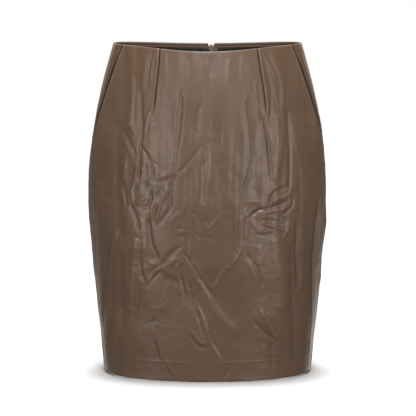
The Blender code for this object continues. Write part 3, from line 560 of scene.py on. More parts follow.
def crease_height(angle, drop):
    """Height of the creases above the plain form, in metres."""
    x, y = along(angle, drop), drop / MM
    height = np.zeros_like(x)
    front = np.cos(angle) >= 0
    for table, side, is_front in ((FRONT_CREASES, front, True), (BACK_CREASES, ~front, False)):
        if not side.any():
            continue
        sx, sy, total = x[side], y[side], np.zeros(int(side.sum()))
        total += relief_height(sx + (0 if is_front else BACK_SHIFT), sy)
        total += dart_height(is_front, sx, sy)
        for rise, half_width, crisp, points in table:
            rise *= TROUGH_GAIN if rise < 0 else RIDGE_GAIN
            half_width *= CRISP_SLIM if crisp else ROUND_SLIM
            reach = CREASE_REACH * half_width
            px, py = [p[0] for p in points], [p[1] for p in points]
            near = ((sx > min(px) - reach) & (sx < max(px) + reach)
                    & (sy > min(py) - reach) & (sy < max(py) + reach))
            if not near.any():
                continue
            away, share = line_distance(points, sx[near], sy[near])
            length = sum(math.dist(a, b) for a, b in zip(points, points[1:]))
            to_end = np.minimum(share, 1 - share) * length
            ends = END_SHARE + (1 - END_SHARE) * smooth_step(to_end / min(CREASE_END, 0.5 * length))
            profile = np.exp(-((away / half_width) ** (CRISP_POWER if crisp else ROUND_POWER)))
            total[near] += rise * MM * ends * profile
        height[side] = total
    mouth_open = front & (drop < MOUTH_END_DROP)
    edge = np.where(front, mouth_angle(drop), seam_angle(drop))
    fade_width = np.where(mouth_open, MOUTH_FADE, SEAM_FADE)
    to_edge = np.abs(edge - np.abs(angle)) * girth_rate(angle, drop)
    centre = np.where(front, 1.0, smooth_step(np.abs(along(angle, drop)) * MM / CENTRE_BACK_FADE))
    at_waist = smooth_step((drop - waist_drop(angle)) / WAIST_FADE)
    at_waist = WAIST_SHARE + (1 - WAIST_SHARE) * at_waist
    puff = MOUTH_PUFF * nearness(to_edge, MOUTH_FADE) * smooth_step(drop / PUFF_START)
    puff = np.where(mouth_open & (np.abs(angle) <= edge), puff, 0)
    puff = puff * smooth_step((MOUTH_END_DROP - drop) / PUFF_END)
    above_hem = SIDE_LENGTH - HEM_BAND + hem_sag(angle) - drop
    hem = HEM_RIDGE * nearness(above_hem, HEM_RIDGE_WIDTH)
    return (height + hem) * smooth_step(to_edge / fade_width) * centre * at_waist + puff

# %% [markdown]
# Each point of a piece also carries a tone for its material, which paints light and shade into
# its colour: painted shade darkens troughs, seams and the inside of the pocket mouth, where little
# light gets, and painted highlights lighten rolled edges, the waist edge and the strip behind each
# side seam. These lines are narrower than a pixel of the render, so light alone wouldn't draw them.

# %% Tones
# Painted shade in each dart's groove, and a painted highlight on the fold beside it.
DART_TONE, DART_SHADE_WIDTH = -4.0, 0.95      # dart widths and places are in mm, as above
DART_LIGHT_TONE, DART_LIGHT_WIDTH, DART_LIGHT_AT = 1.2, 1.2, 2.4
# Painted shade in the groove of a seam.
SEAM_TONE, SEAM_SHADE_WIDTH, SEAM_LINE_WIDTH = -2.0, 3.0 * MM, 1.0 * MM    # wider on the front
SEAM_CLEARS, TONE_BLUR = 210 * MM, 60 * MM    # from here down the strip and its seam show
# A painted highlight on the front's rounded edge at a pocket mouth.
ROLLED_TONE, ROLLED_WIDTH = 1.6, 3.2 * MM     # the front's edge at a pocket mouth
# Painted shadow along the foot of a pocket mouth, where the front's edge shades the cloth.
FOOT_TONE, FOOT_WIDTH = -3.2, 2.4 * MM        # the narrowing foot of a mouth, and just below it
FOOT_START, FOOT_END, FOOT_BLUR = 85 * MM, 200 * MM, 35 * MM
# Painted shadow of the front's edge on the bearer, inside the pocket mouth.
MOUTH_TONE, MOUTH_SHADE_BLUR = -4.2, 4.0 * MM
MOUTH_SHADE_TOP, MOUTH_SHADE = 5.5 * MM, 10.0 * MM     # its width at the waist, and lower down
MOUTH_SHADE_START, MOUTH_SHADE_GROWTH = 10 * MM, 30 * MM
# A painted highlight along the waist edge, and at the hem painted shade on its edge with a painted light
# line above.
RIM_TONE, RIM_SIDE_TONE, RIM_WIDTH = 0.5, 2.6, 1.7 * MM     # the waist edge, and more at its sides
HEM_TONE, HEM_SHADE_WIDTH = -1.5, 1.8 * MM
HEM_LIGHT_TONE, HEM_LIGHT_ABOVE, HEM_LIGHT_WIDTH = 0.5, 5.5 * MM, 2.2 * MM
# A painted highlight on the back's strip just behind the side seam, where side light catches it.
STRIP_TONE, STRIP_TOP_TONE, STRIP_TOP = 1.8, 2.6, 110 * MM     # lighter still down to that drop
STRIP_START, STRIP_END = 3.0 * MM, 26.0 * MM      # the back's lighter strip along the side seam
SOFT_START, SOFT_SEAM = 17.0 * MM, 0.15    # on the wearer's right: it fades in, and a faint seam
FULL_CREASE = 2.4 * MM      # a crease this high or deep has a tone of 1 or -1


def edge_tone(angle, drop):
    """The painted highlight along the waist edge, brighter at its sides, and the painted shade on the hem's
    edge with a painted light line above.
    """
    share = np.abs(plain_point(angle, drop)[..., 0]) / section("half_width", drop)
    waist = (RIM_TONE + RIM_SIDE_TONE * share**2) * nearness(drop - waist_drop(angle), RIM_WIDTH)
    above_hem = SIDE_LENGTH + hem_sag(angle) - drop
    return (waist + HEM_TONE * nearness(above_hem, HEM_SHADE_WIDTH)
            + HEM_LIGHT_TONE * nearness(above_hem - HEM_LIGHT_ABOVE, HEM_LIGHT_WIDTH))


def seam_tone(angle, drop):
    """The painted shade of a side seam's groove, which is clear only low down on the wearer's left."""
    clear = SOFT_SEAM + (1 - SOFT_SEAM) * smooth_step((drop - SEAM_CLEARS) / TONE_BLUR)
    return SEAM_TONE * np.where(angle > 0, clear, SOFT_SEAM)


def front_tone(angle, drop):
    # Painted highlight on the front's edge at a pocket mouth, painted shade at the side seam, along the
    # mouth's foot and in the darts, and a painted highlight beside each dart.
    angle_in = np.abs(angle)
    mouth = mouth_angle(drop)
    to_edge = (mouth - angle_in) * girth_rate(mouth, drop)
    foot = smooth_step((drop - FOOT_START) / FOOT_BLUR) * smooth_step((FOOT_END - drop) / FOOT_BLUR)
    tone = np.where(drop < MOUTH_END_DROP, ROLLED_TONE * (1 - foot) * nearness(to_edge, ROLLED_WIDTH),
                    seam_tone(angle, drop) * nearness(to_edge, SEAM_SHADE_WIDTH))
    tone += FOOT_TONE * foot * nearness(to_edge, FOOT_WIDTH)
    x, y = along(angle, drop), drop / MM
    tone += DART_TONE * dart_share(True, x, y, DART_SHADE_WIDTH)
    tone += DART_LIGHT_TONE * dart_share(True, x, y, DART_LIGHT_WIDTH, DART_LIGHT_AT)
    return tone + edge_tone(angle, drop)


def back_tone(angle, drop):
    # Painted shade at the side seam, the centre-back seam and the darts, and a painted highlight on the
    # strip behind the side seam.
    seam = seam_angle(drop)
    behind = (np.abs(angle) - seam) * girth_rate(seam, drop)
    tone = seam_tone(angle, drop) * nearness(behind, SEAM_LINE_WIDTH)
    strip = (STRIP_TOP_TONE * smooth_step((STRIP_TOP - drop) / TONE_BLUR + 0.5)
             + STRIP_TONE * smooth_step((drop - SEAM_CLEARS) / TONE_BLUR))
    start = np.where((angle > 0) | (drop < STRIP_TOP), STRIP_START, SOFT_START)
    tone += strip * smooth_step(behind / start) * smooth_step((STRIP_END - behind) / STRIP_START)
    centre = plain_point(angle, drop)[..., 0] - zip_line(drop)
    tone += SEAM_TONE * nearness(centre, SEAM_LINE_WIDTH) * (drop > BACK_DIP + NOTCH_DEPTH)
    tone += DART_TONE * dart_share(False, along(angle, drop), drop / MM, DART_SHADE_WIDTH)
    return tone + edge_tone(angle, drop)


def bearer_tone(angle, drop):
    # The painted shadow inside the pocket mouth, and painted shade at the side seam.
    mouth, seam = mouth_angle(drop), seam_angle(drop)
    beyond = (np.abs(angle) - mouth) * girth_rate(mouth, drop)
    to_seam = (seam - np.abs(angle)) * girth_rate(seam, drop)
    growth = smooth_step((drop - MOUTH_SHADE_START) / MOUTH_SHADE_GROWTH)
    shade_ends = MOUTH_SHADE_TOP + (MOUTH_SHADE - MOUTH_SHADE_TOP) * growth
    shaded = 1 - smooth_step((beyond - shade_ends) / MOUTH_SHADE_BLUR + 0.5)
    return MOUTH_TONE * shaded + SEAM_TONE * nearness(to_seam, SEAM_LINE_WIDTH) + edge_tone(angle, drop)

# %% [markdown]
# ## Cutting a piece
# A piece has an outer face and an inner face, with rounded edges all round, as cut cloth
# that is turned under has. Solidify and Bevel could make them, but here each edge gets its own
# rounding, and the inner face, which is hidden, a coarser grid.

# %% Grid lines, with a few close ones on the rounding of an edge
ROUNDING = (0.0, 0.12, 0.4, 0.75)   # places on the rounding, as a share of its radius


def close_lines(count, zones):
    """Shares from 0 to 1, closer in the zones, each a (place, half width, times closer)."""
    fine = np.linspace(0, 1, 4001)
    density = 1 + sum((gain - 1) * np.exp(-(((fine - at) / width) ** 4)) for at, width, gain in zones)
    total = np.cumsum(density) - density[0]
    return np.interp(np.linspace(0, 1, count + 1), total / total[-1], fine)


def lines(cells, radius_start, radius_end):
    """For each grid line: its share of the way across, the distances kept from the two edges,
    and how deep the rounding of the edge sinks it. cells is a count, or the shares themselves."""
    share = np.linspace(0, 1, cells + 1) if isinstance(cells, int) else np.array(cells)
    close = np.array(ROUNDING)
    sink = 1 - np.sqrt(1 - (1 - close) ** 2)
    share = np.concatenate([0 * close, share, 1 + 0 * close])
    kept = np.ones(share.size - 2 * close.size)
    before = radius_start * np.concatenate([close, kept, 1 + 0 * close])
    after = radius_end * np.concatenate([1 + 0 * close, kept, close[::-1]])
    sunk = np.concatenate([radius_start * sink, 0 * kept, radius_end * sink[::-1]])
    return share, before, after, sunk

# %% Faces between the grid points
MERGE_WITHIN = 0.01 * MM


def grid_faces(index):
    a, b, c, d = index[:-1, :-1], index[:-1, 1:], index[1:, 1:], index[1:, :-1]
    return np.stack([a, d, c, b], axis=-1).reshape(-1, 4)


def zip_edges(first, second, first_at, second_at):
    """Triangles between two lines of points, which lie at the given shares of the way."""
    faces, i, j = [], 0, 0
    while i < len(first) - 1 or j < len(second) - 1:
        if j == len(second) - 1 or (i < len(first) - 1 and first_at[i + 1] <= second_at[j + 1]):
            faces.append((first[i], first[i + 1], second[j]))
            i += 1
        else:
            faces.append((first[i], second[j + 1], second[j]))
            j += 1
    return [f for f in faces if len(set(f)) == 3]


def close_mesh(mesh, within):
    """Merges points that meet, and turns all faces outwards."""
    bm = bmesh.new()
    bm.from_mesh(mesh)
    bmesh.ops.remove_doubles(bm, verts=bm.verts, dist=within)
    bmesh.ops.recalc_face_normals(bm, faces=bm.faces)
    if bm.calc_volume(signed=True) < 0:
        bmesh.ops.reverse_faces(bm, faces=bm.faces)
    bm.to_mesh(mesh)
    bm.free()


def put(name, data):
    """A new object in the scene."""
    made = bpy.data.objects.new(name, data)
    bpy.context.scene.collection.objects.link(made)
    return made


def make_piece(name, points, quads, triangles, crease):
    """A closed piece from its points and faces, with a tone at each point that paints light and shade into
    its colour.
    """
    mesh = bpy.data.meshes.new(name)
    mesh.from_pydata(points.tolist(), [], [tuple(q) for q in quads.tolist()] + list(triangles))
    mesh.attributes.new("crease", "FLOAT", "POINT").data.foreach_set("value", crease)
    close_mesh(mesh, MERGE_WITHIN)
    mesh.shade_smooth()
    print(f"{name}: {len(mesh.polygons)} faces")
    return put(name, mesh)

# %% [markdown]
# The size that a piece was cut to is measured on the plain form, before it creases.

# %% The cutter
NUDGE = 0.001       # keeps the lines on a rounding in order, as shares of the way
EDGE_ROUND = 0.47   # of the thickness, on each face
LIMIT_ROUNDS = 4    # the edges depend on each other, so they are found in a few rounds
FLAT = {}           # for each piece: the width, length and area of its flat cut, in metres


def flat_cut(points):
    """Greatest width along the rows of a grid, greatest length square to them, and area."""
    across, down = np.diff(points, axis=1), np.diff(points, axis=0)
    widths = np.linalg.norm(across, axis=2)
    areas = np.linalg.norm(np.cross(across[:-1], down[:, :-1]), axis=2)
    lengths = areas / np.maximum(widths[:-1], 1e-9)
    return widths.sum(axis=1).max(), lengths.sum(axis=0).max(), areas.sum()


def cut(name, angle_limits, drop_limits, depth_out, depth_in, cells, inner_cells,
        thickness=CLOTH, rounds=None, side=1, folded=True, tone=None):
    """A piece between two edges, side -1 being the wearer's right. angle_limits(drop) and
    drop_limits(angle) give its edges, and depth_out and depth_in the depths of its two faces.
    cells and inner_cells are the columns and rows of those faces, each a count or the shares
    themselves. rounds gives the radii of the edges as (sides, top, hem) of the outer face, then
    of the inner one. folded adds the creases, and tone(angle, drop) the painted light and shade of the
    cloth."""
    layers, faces, count = [], [], 0
    for depth_at, (columns, rows), sign, (radius, top_radius, hem_radius) in zip(
            (depth_out, depth_in), (cells, inner_cells), (1, -1),
            rounds or ((EDGE_ROUND * thickness,) * 3,) * 2):
        u, before, after, side_sunk = lines(columns, radius, radius)
        v, above, below, end_sunk = (a[:, None] for a in lines(rows, top_radius, hem_radius))
        at = (u + NUDGE * (before - after) / radius,
              (v + NUDGE * (above / top_radius - below / hem_radius))[:, 0])
        drop = v * SIDE_LENGTH + 0 * u
        for _ in range(LIMIT_ROUNDS):
            left, right = angle_limits(drop)
            left = left + before / girth_rate(left, drop)
            right = right - after / girth_rate(right, drop)
            angle = left + u * (right - left)
            top, bottom = drop_limits(angle)
            drop = top + above + v * (bottom - below - top - above)
        depth = depth_at(side * angle, drop) + sign * np.maximum(side_sunk, end_sunk)
        lift = crease_height(side * angle, drop) if folded else 0 * drop
        flat = plain_point(side * angle, drop)
        FLAT.setdefault(name, flat_cut(flat))
        points = flat + outward(side * angle, drop) * (lift - depth)[..., None]
        index = np.arange(count, count + drop.size).reshape(drop.shape)
        count += drop.size
        # The crease height paints shade into troughs and light onto ridges, and the tones add more painted
        # light and shade.
        shade = np.clip(lift / FULL_CREASE, -1, 1) + (tone(side * angle, drop) if tone else 0)
        layers.append((points.reshape(-1, 3), index, shade.ravel(), at))
        faces.append(grid_faces(index))
    (a, b), ((across, down), (inner_across, inner_down)) = ([layer[k] for layer in layers] for k in (1, 3))
    joins = []
    for first, second, first_at, second_at in (
            (a[0], b[0], across, inner_across), (a[-1], b[-1], across, inner_across),
            (a[:, 0], b[:, 0], down, inner_down), (a[:, -1], b[:, -1], down, inner_down)):
        joins += zip_edges(first.tolist(), second.tolist(), first_at, second_at)
    points, crease = (np.concatenate([layer[k] for layer in layers]) for k in (0, 2))
    return make_piece(name, points, np.concatenate(faces), joins, crease)

# %% [markdown]
# ## Depths of the layers
# Depth is measured inwards from the outer face of the folded cloth. The bearer lies under the
# front's edge, and comes up flush with the back at the side seam.

# %% Depths
LAYER_GAP = 0.3 * MM
HEM_STEP, HEM_STEP_ABOVE = 0.8 * MM, 0.4 * MM     # the inner step where the turned-up hem ends
FOLD_CLEAR, FOLD_BLUR = 1 * MM, 8 * MM            # a dart's fold starts below the facing
MOUTH_GAPE, GAPE_WIDTH = 0.5 * MM, 9 * MM         # the bearer hangs back from the pocket mouth
GAPE_TOP, GAPE_START, GAPE_END = 16 * MM, 20 * MM, 40 * MM
POCKET_MARGIN, POCKET_BLUR = 12 * MM, 10 * MM     # what lies over a bearer starts to sink this early
POCKET_BACK_BLUR, POCKET_FOOT, POCKET_FOOT_BLUR = 20 * MM, 4 * MM, 20 * MM
LINING_HANG, LINING_HANG_DROP = 5.0 * MM, 40 * MM
WIDE_RIPPLE, WIDE_RIPPLES = 0.9, 17               # mm, and how many go round the skirt
NARROW_RIPPLE, NARROW_RIPPLES, NARROW_SHIFT = 0.6, 29, 1.3
RIPPLE_SWAY, RIPPLE_SWAY_RATE = 3, 9              # the wide ones sway as they hang
RIPPLE_START, RIPPLE_GROWTH = 30 * MM, 80 * MM


def outer_depth(angle, drop):
    return np.zeros_like(drop)


def panel_inner_depth(angle, drop):
    to_hem = SIDE_LENGTH + hem_sag(angle) - drop
    turned = smooth_step((HEM_BAND + HEM_STEP_ABOVE - to_hem) / HEM_STEP)
    x, y = along(angle, drop), drop / MM
    fold = np.where(np.cos(angle) >= 0, dart_share(True, x, y, DART_FOLD_REACH, DART_FOLD_AT),
                    dart_share(False, x, y, DART_FOLD_REACH, DART_FOLD_AT))
    below_facing = smooth_step((drop - waist_drop(angle) - FACING_HEIGHT - FOLD_CLEAR) / FOLD_BLUR)
    return CLOTH * (1 + turned) + DART_FOLD * MM * fold * below_facing


def bearer_depth(angle, drop):
    angle = np.abs(angle)
    mouth, seam = mouth_angle(drop), seam_angle(drop)
    width = (seam - mouth) * girth_rate(seam, drop)
    rise = np.clip(width / BEARER_FULL_RISE, 0.0, 1.0)
    bare = smooth_step((angle - mouth) / np.maximum(seam - mouth, 1e-4))
    gape = MOUTH_GAPE * nearness((angle - mouth) * girth_rate(mouth, drop), GAPE_WIDTH)
    gape = gape * smooth_step((drop - GAPE_TOP) / GAPE_START)
    gape = gape * smooth_step((MOUTH_END_DROP - drop) / GAPE_END)
    return (CLOTH + LAYER_GAP) * (1.0 - rise * bare) + gape


def pocket_thickness(angle, drop):
    """The room that a bearer takes, which the facing and the lining leave for it."""
    angle_in = np.abs(angle)
    rate = girth_rate(angle_in, drop)
    start = mouth_angle(drop) - (BEARER_UNDERLAP + POCKET_MARGIN) / rate
    blend = smooth_step((angle_in - start) * rate / POCKET_BLUR)
    back = smooth_step((angle_in - seam_angle(drop)) * rate / POCKET_BACK_BLUR)
    fade = 1.0 - smooth_step((drop - BEARER_DROP - POCKET_FOOT) / POCKET_FOOT_BLUR)
    return bearer_depth(angle, drop) * blend * fade * (1.0 - back)


def facing_depth(angle, drop):
    return CLOTH + LAYER_GAP + pocket_thickness(angle, drop)


def lining_depth(angle, drop):
    hang = LINING_HANG * smooth_step(drop / LINING_HANG_DROP)
    sway = RIPPLE_SWAY * np.sin(drop * RIPPLE_SWAY_RATE)
    ripple = (WIDE_RIPPLE * np.sin(WIDE_RIPPLES * angle + sway)
              + NARROW_RIPPLE * np.sin(NARROW_RIPPLES * angle + NARROW_SHIFT))
    ripple = ripple * MM * smooth_step((drop - RIPPLE_START) / RIPPLE_GROWTH)
    return CLOTH + TAPE + 2 * LAYER_GAP + pocket_thickness(angle, drop) + hang + ripple


def tape_depth(angle, drop):
    return np.full_like(drop, CLOTH + LAYER_GAP)


def deeper(depth_at, thickness):
    return lambda angle, drop: depth_at(angle, drop) + thickness

# %% [markdown]
# ## The panels
# The front is one piece. Its edge follows the pocket mouth, then the side seam. The back is two
# pieces that meet at the zip. A simulated cloth would crease somewhere else on each try, so the
# panels are cut straight from the creased form.

# %% Front and backs
def below_waist(angle):
    return waist_drop(angle), SIDE_LENGTH + hem_sag(angle)


def side_edge(offset, drop):
    seam = seam_angle(drop)
    return seam + offset * 0.5 * SEAM_GAP / girth_rate(seam, drop)


def front_limits(drop):
    mouth = mouth_angle(drop)
    edge = mouth - 0.5 * SEAM_GAP / girth_rate(mouth, drop)
    return -edge, edge


DART_MIDDLE = 50.0    # mm below the side top


def dart_place(points, limits, start, end):
    """Where a dart crosses a panel half way down, as a share of the way across."""
    across, down = zip(*points)
    drop, angles = np.array(DART_MIDDLE * MM), np.linspace(start, end, 400)
    x = np.abs(along(angles, np.full_like(angles, drop)))
    order = np.argsort(x)
    distance = abs(np.interp(DART_MIDDLE, down, across))
    dart_angle = np.interp(distance, x[order], angles[order])
    left, right = limits(drop)
    return float((dart_angle - left) / (right - left))


FINE = 1.0
# Together the two faces' radii stay under the thickness, which is double at the hem.
PANEL_ROUNDS = ((0.3 * CLOTH, 0.65 * CLOTH, 0.9 * CLOTH), (0.1 * CLOTH, 0.1 * CLOTH, 0.9 * CLOTH))
# The lines of the grid are closer at the hem's inner step, at the darts, and where most creases are.
HEM_LINE = 1 - HEM_BAND / SIDE_LENGTH
HEM_STEP_ROWS = HEM_LINE + np.array((-0.6, 0.6)) * MM / SIDE_LENGTH
PANEL_ROWS = close_lines(int(280 * FINE), [(HEM_LINE, 0.012, 1.8), (0.62, 0.45, 1.7)])
INNER_ROWS = np.sort(np.append(np.linspace(0, 1, 116), HEM_STEP_ROWS))
places = [dart_place(points, front_limits, 0, 0.5 * math.pi) for points in FRONT_DARTS]
places[0] = 1 - places[0]      # the first dart is on the wearer's right
print("front darts at", [round(place, 3) for place in places], "of the width")
front_columns = close_lines(int(275 * FINE), [(place, 0.022, 2.6) for place in places] + [(0.5, 0.37, 1.6)])
inner_columns = close_lines(124, [(place, 0.02, 3.0) for place in places])
front = cut("front_skin", front_limits, below_waist, outer_depth, panel_inner_depth,
            (front_columns, PANEL_ROWS), (inner_columns, INNER_ROWS),
            rounds=PANEL_ROUNDS, tone=front_tone)
backs = {}
for name, side in (("back_skin_left", 1), ("back_skin_right", -1)):
    def back_limits(drop, side=side):
        edge = back_edge_angle(side, drop, notch_half_width(drop - BACK_DIP))
        return side_edge(1, drop), edge
    place = dart_place(BACK_DARTS[side > 0], back_limits, 0.5 * math.pi, math.pi)
    back_columns = close_lines(int(135 * FINE), [(place, 0.04, 2.2)])
    inner_columns = close_lines(66, [(place, 0.04, 4.0)])
    backs[side] = cut(name, back_limits, below_waist, outer_depth, panel_inner_depth,
                      (back_columns, int(240 * FINE)), (inner_columns, INNER_ROWS),
                      rounds=PANEL_ROUNDS, side=side, tone=back_tone)

# %% [markdown]
# ## Pocket bearers, facing, lining and tapes
# A bearer is the cloth seen inside a pocket mouth. The facing is the strip turned in at the
# waist, the lining hangs from it, and the tapes carry the zip. Solidified copies of the panels
# would do, but the same cutter at other depths keeps them clear of the cloth and of each other.

# %% Inner pieces
def strip(top, height):
    return lambda angle: (waist_drop(angle) + top, waist_drop(angle) + top + height)


inner = {}
for name, side in (("bearer_left", 1), ("bearer_right", -1)):
    def bearer_limits(drop):
        mouth = mouth_angle(drop)
        return mouth - BEARER_UNDERLAP / girth_rate(mouth, drop), side_edge(-1, drop)

    def bearer_rows(angle):
        return waist_drop(angle), np.full_like(angle, BEARER_DROP)
    inner[name] = cut(name, bearer_limits, bearer_rows, bearer_depth, deeper(bearer_depth, CLOTH),
                      (44, 110), (24, 60), side=side, tone=bearer_tone)

STITCH_LINE = 0.52 * FACING_HEIGHT    # below the waist edge
FACING_BELOW_EDGE = 0.4 * MM
FACING_GROOVE, GROOVE_WIDTH = 0.3 * MM, 0.7 * MM     # the stitches pull a groove into it
# Painted shade along the stitch groove.
FACING_LINE_TONE, FACING_LINE_WIDTH = -3.0, 0.9 * MM


def facing_inner_depth(angle, drop):
    to_line = drop - waist_drop(angle) - STITCH_LINE
    return facing_depth(angle, drop) + FACING - FACING_GROOVE * nearness(to_line, GROOVE_WIDTH)


def facing_tone(angle, drop):
    # A painted shade line along the stitch groove.
    return FACING_LINE_TONE * nearness(drop - waist_drop(angle) - STITCH_LINE, FACING_LINE_WIDTH)


facing_rows = strip(FACING_BELOW_EDGE, FACING_HEIGHT - FACING_BELOW_EDGE)
inner["facing_front"] = cut(
    "facing_front", lambda drop: (-side_edge(-1, drop), side_edge(-1, drop)), facing_rows,
    facing_depth, facing_inner_depth, (200, 3), (200, 14),
    thickness=FACING - 2 * FACING_GROOVE, tone=facing_tone)
for name, side in (("facing_back_left", 1), ("facing_back_right", -1)):
    def facing_limits(drop, side=side):
        return side_edge(1, drop), back_edge_angle(side, drop, NOTCH_HALF_WIDTH)
    inner[name] = cut(name, facing_limits, facing_rows, facing_depth, facing_inner_depth,
                      (120, 3), (120, 14), thickness=FACING - 2 * FACING_GROOVE, side=side,
                      tone=facing_tone)

LINING_TOP = FACING_HEIGHT + LAYER_GAP
LINING_SHIFT = 4.0 * MM      # its seams lie beside the cloth's, so no light shows through both
LINING_CLOSING = 30 * MM     # below the zip its two edges come together over this drop


def lining_rows(angle):
    return waist_drop(angle) + LINING_TOP, np.full_like(angle, SIDE_LENGTH - LINING_ABOVE_HEM)


def lining_side(offset, drop):
    edge = side_edge(offset, drop)
    return edge + LINING_SHIFT / girth_rate(edge, drop)


inner["lining_skin_front"] = cut(
    "lining_skin_front", lambda drop: (-lining_side(-1, drop), lining_side(-1, drop)), lining_rows,
    lining_depth, deeper(lining_depth, LINING), (150, 60), (150, 60), thickness=LINING, folded=False)
for name, side in (("lining_skin_back_left", 1), ("lining_skin_back_right", -1)):
    def lining_limits(drop, side=side):
        closing = smooth_step((drop - ZIP_LENGTH) / LINING_CLOSING)
        beside_zip, at_seam = LINING_EDGES[side], SEAM_GAP / 2 + side * LINING_SHIFT
        clear = beside_zip + (at_seam - beside_zip) * closing
        return lining_side(1, drop), back_edge_angle(side, drop, clear)
    inner[name] = cut(name, lining_limits, lining_rows, lining_depth, deeper(lining_depth, LINING),
                      (90, 60), (90, 60), thickness=LINING, side=side, folded=False)

for name, side in (("tape_left", 1), ("tape_right", -1)):
    def tape_limits(drop, side=side):
        near = notch_half_width(drop - BACK_DIP) + LAYER_GAP
        return back_edge_angle(side, drop, TAPE_WIDTH), back_edge_angle(side, drop, near)

    def tape_rows(angle):
        return waist_drop(angle) + LINING_TOP, np.full_like(angle, ZIP_LENGTH)
    inner[name] = cut(name, tape_limits, tape_rows, tape_depth, deeper(tape_depth, TAPE),
                      (10, 90), (10, 60), thickness=TAPE, side=side)

# %% [markdown]
# ## The zip
# The slider's plate is inside the cloth. Two posts pass through the notch to a bridge outside,
# and the pull tab swings on the bridge. Each part is a flat outline, filled and given thickness,
# which is simpler than modelling it by faces. Sizes are (across, down, out) from the hinge line.

# %% Sizes of the zip's metal, in mm but for the first two
HINGE_BELOW_EDGE, HINGE_OUT = 6.0 * MM, 0.9 * MM
PLATE = {"half_width": 3.4, "top": -5.9, "bottom": 6.5, "thickness": 2.2,
         "taper": 3.0, "foot": 1.9, "bevel": 0.5}
PLATE_OUT = -(CLOTH + TAPE + 2 * LAYER_GAP) / MM - HINGE_OUT / MM
BRIDGE_IN, BRIDGE_OUT, BRIDGE_BEVEL = 0.8, 1.5, 0.2
POST_NEAR, POST_FAR, POST_HALF, POST_BEVEL = 1.0, 2.0, 1.0, 0.15
POST_IN_PLATE, POST_IN_BRIDGE = 0.3, 0.2     # how far the posts run into both
PULL = {"half_thickness": 0.4, "bar": 0.45, "hole_end": 2.9, "limb": 1.3, "neck": 2.3,
        "wide": 3.0, "length": 14.0, "bevel": 0.15}
ZIP_MERGE, ZIP_SHARP = 0.001, math.radians(50)


def zip_frame():
    """The place of the hinge line, with axes across, down and out of the cloth."""
    drop = BACK_DIP + HINGE_BELOW_EDGE
    angle = float(back_edge_angle(1, np.array(drop), np.array(0.0)))
    at = plain_point(np.array(angle), np.array(drop))
    below = plain_point(np.array(angle), np.array(drop + 10 * MM))
    slope = math.atan2(below[1] - at[1], at[2] - below[2])
    down = Vector((0, math.sin(slope), -math.cos(slope)))
    out = Vector((0, math.cos(slope), math.sin(slope)))
    hinge = Vector(at) + out * HINGE_OUT
    return Matrix(((1, down.x, out.x, hinge.x), (0, down.y, out.y, hinge.y),
                   (0, down.z, out.z, hinge.z), (0, 0, 0, 1)))

# %% Slider and pull tab
def as_mesh(holder):
    """The plain mesh of an object with its modifiers applied. The object itself goes."""
    bpy.context.view_layer.update()
    mesh = bpy.data.meshes.new_from_object(
        holder.evaluated_get(bpy.context.evaluated_depsgraph_get()))
    bpy.data.objects.remove(holder)
    return mesh


def add_lines(curve, lines_of_points, closed=False):
    for points in lines_of_points:
        spline = curve.splines.new("POLY")
        spline.points.add(len(points) - 1)
        spline.points.foreach_set("co", np.c_[points, np.ones(len(points))].ravel())
        spline.use_cyclic_u = closed


def flat_piece(name, outlines, low, high, bevel):
    """A plate with an outline, and holes, filled and extruded from low to high with round edges."""
    curve = bpy.data.curves.new(name, "CURVE")
    curve.dimensions, curve.fill_mode = "2D", "BOTH"
    curve.extrude = (high - low) / 2 - bevel
    curve.bevel_depth, curve.bevel_resolution, curve.offset = bevel, 2, -bevel
    add_lines(curve, [[(x, y, 0) for x, y in points] for points in outlines], closed=True)
    mesh = as_mesh(put(name, curve))
    mesh.transform(Matrix.Translation((0, 0, (high + low) / 2)))
    return mesh


def arc(x, y, radius, start, end, steps=8):
    turns = [math.radians(start + (end - start) * k / steps) for k in range(steps + 1)]
    return [(x + radius * math.cos(t), y + radius * math.sin(t)) for t in turns]


def joined(name, meshes):
    """One closed mesh made from closed meshes that overlap, set in its place."""
    for mesh in meshes:
        close_mesh(mesh, ZIP_MERGE)
    first, *others = [put(name + "_part", mesh) for mesh in meshes]
    for other in others:
        modifier = first.modifiers.new("union", "BOOLEAN")
        modifier.operation, modifier.solver, modifier.object = "UNION", "EXACT", other
    mesh = as_mesh(first)
    for other in others:
        bpy.data.objects.remove(other)
    mesh.transform(zip_frame() @ Matrix.Scale(MM, 4))
    mesh.shade_smooth()
    mesh.set_sharp_from_angle(angle=ZIP_SHARP)
    return put(name, mesh)


def straight_bar(name, half, start, end, low, high, bevel):
    """A straight bar, from start to end down the zip."""
    return flat_piece(name, [[(-half, start), (half, start), (half, end), (-half, end)]], low, high, bevel)


half, top, bottom = PLATE["half_width"], PLATE["top"], PLATE["bottom"]
shield = arc(0, top + half, half, 180, 360)
shield += [(half, bottom - PLATE["taper"]), (PLATE["foot"], bottom),
           (-PLATE["foot"], bottom), (-half, bottom - PLATE["taper"])]
plate = flat_piece("plate", [shield], PLATE_OUT - PLATE["thickness"], PLATE_OUT, PLATE["bevel"])
posts = [straight_bar("post", POST_HALF, start, end, PLATE_OUT - POST_IN_PLATE,
                      BRIDGE_IN + POST_IN_BRIDGE, POST_BEVEL)
         for start, end in ((-POST_FAR, -POST_NEAR), (POST_NEAR, POST_FAR))]
bridge = straight_bar("bridge", POST_HALF, -POST_FAR, POST_FAR, BRIDGE_IN, BRIDGE_OUT, BRIDGE_BEVEL)
slider = joined("slider", [plate, *posts, bridge])

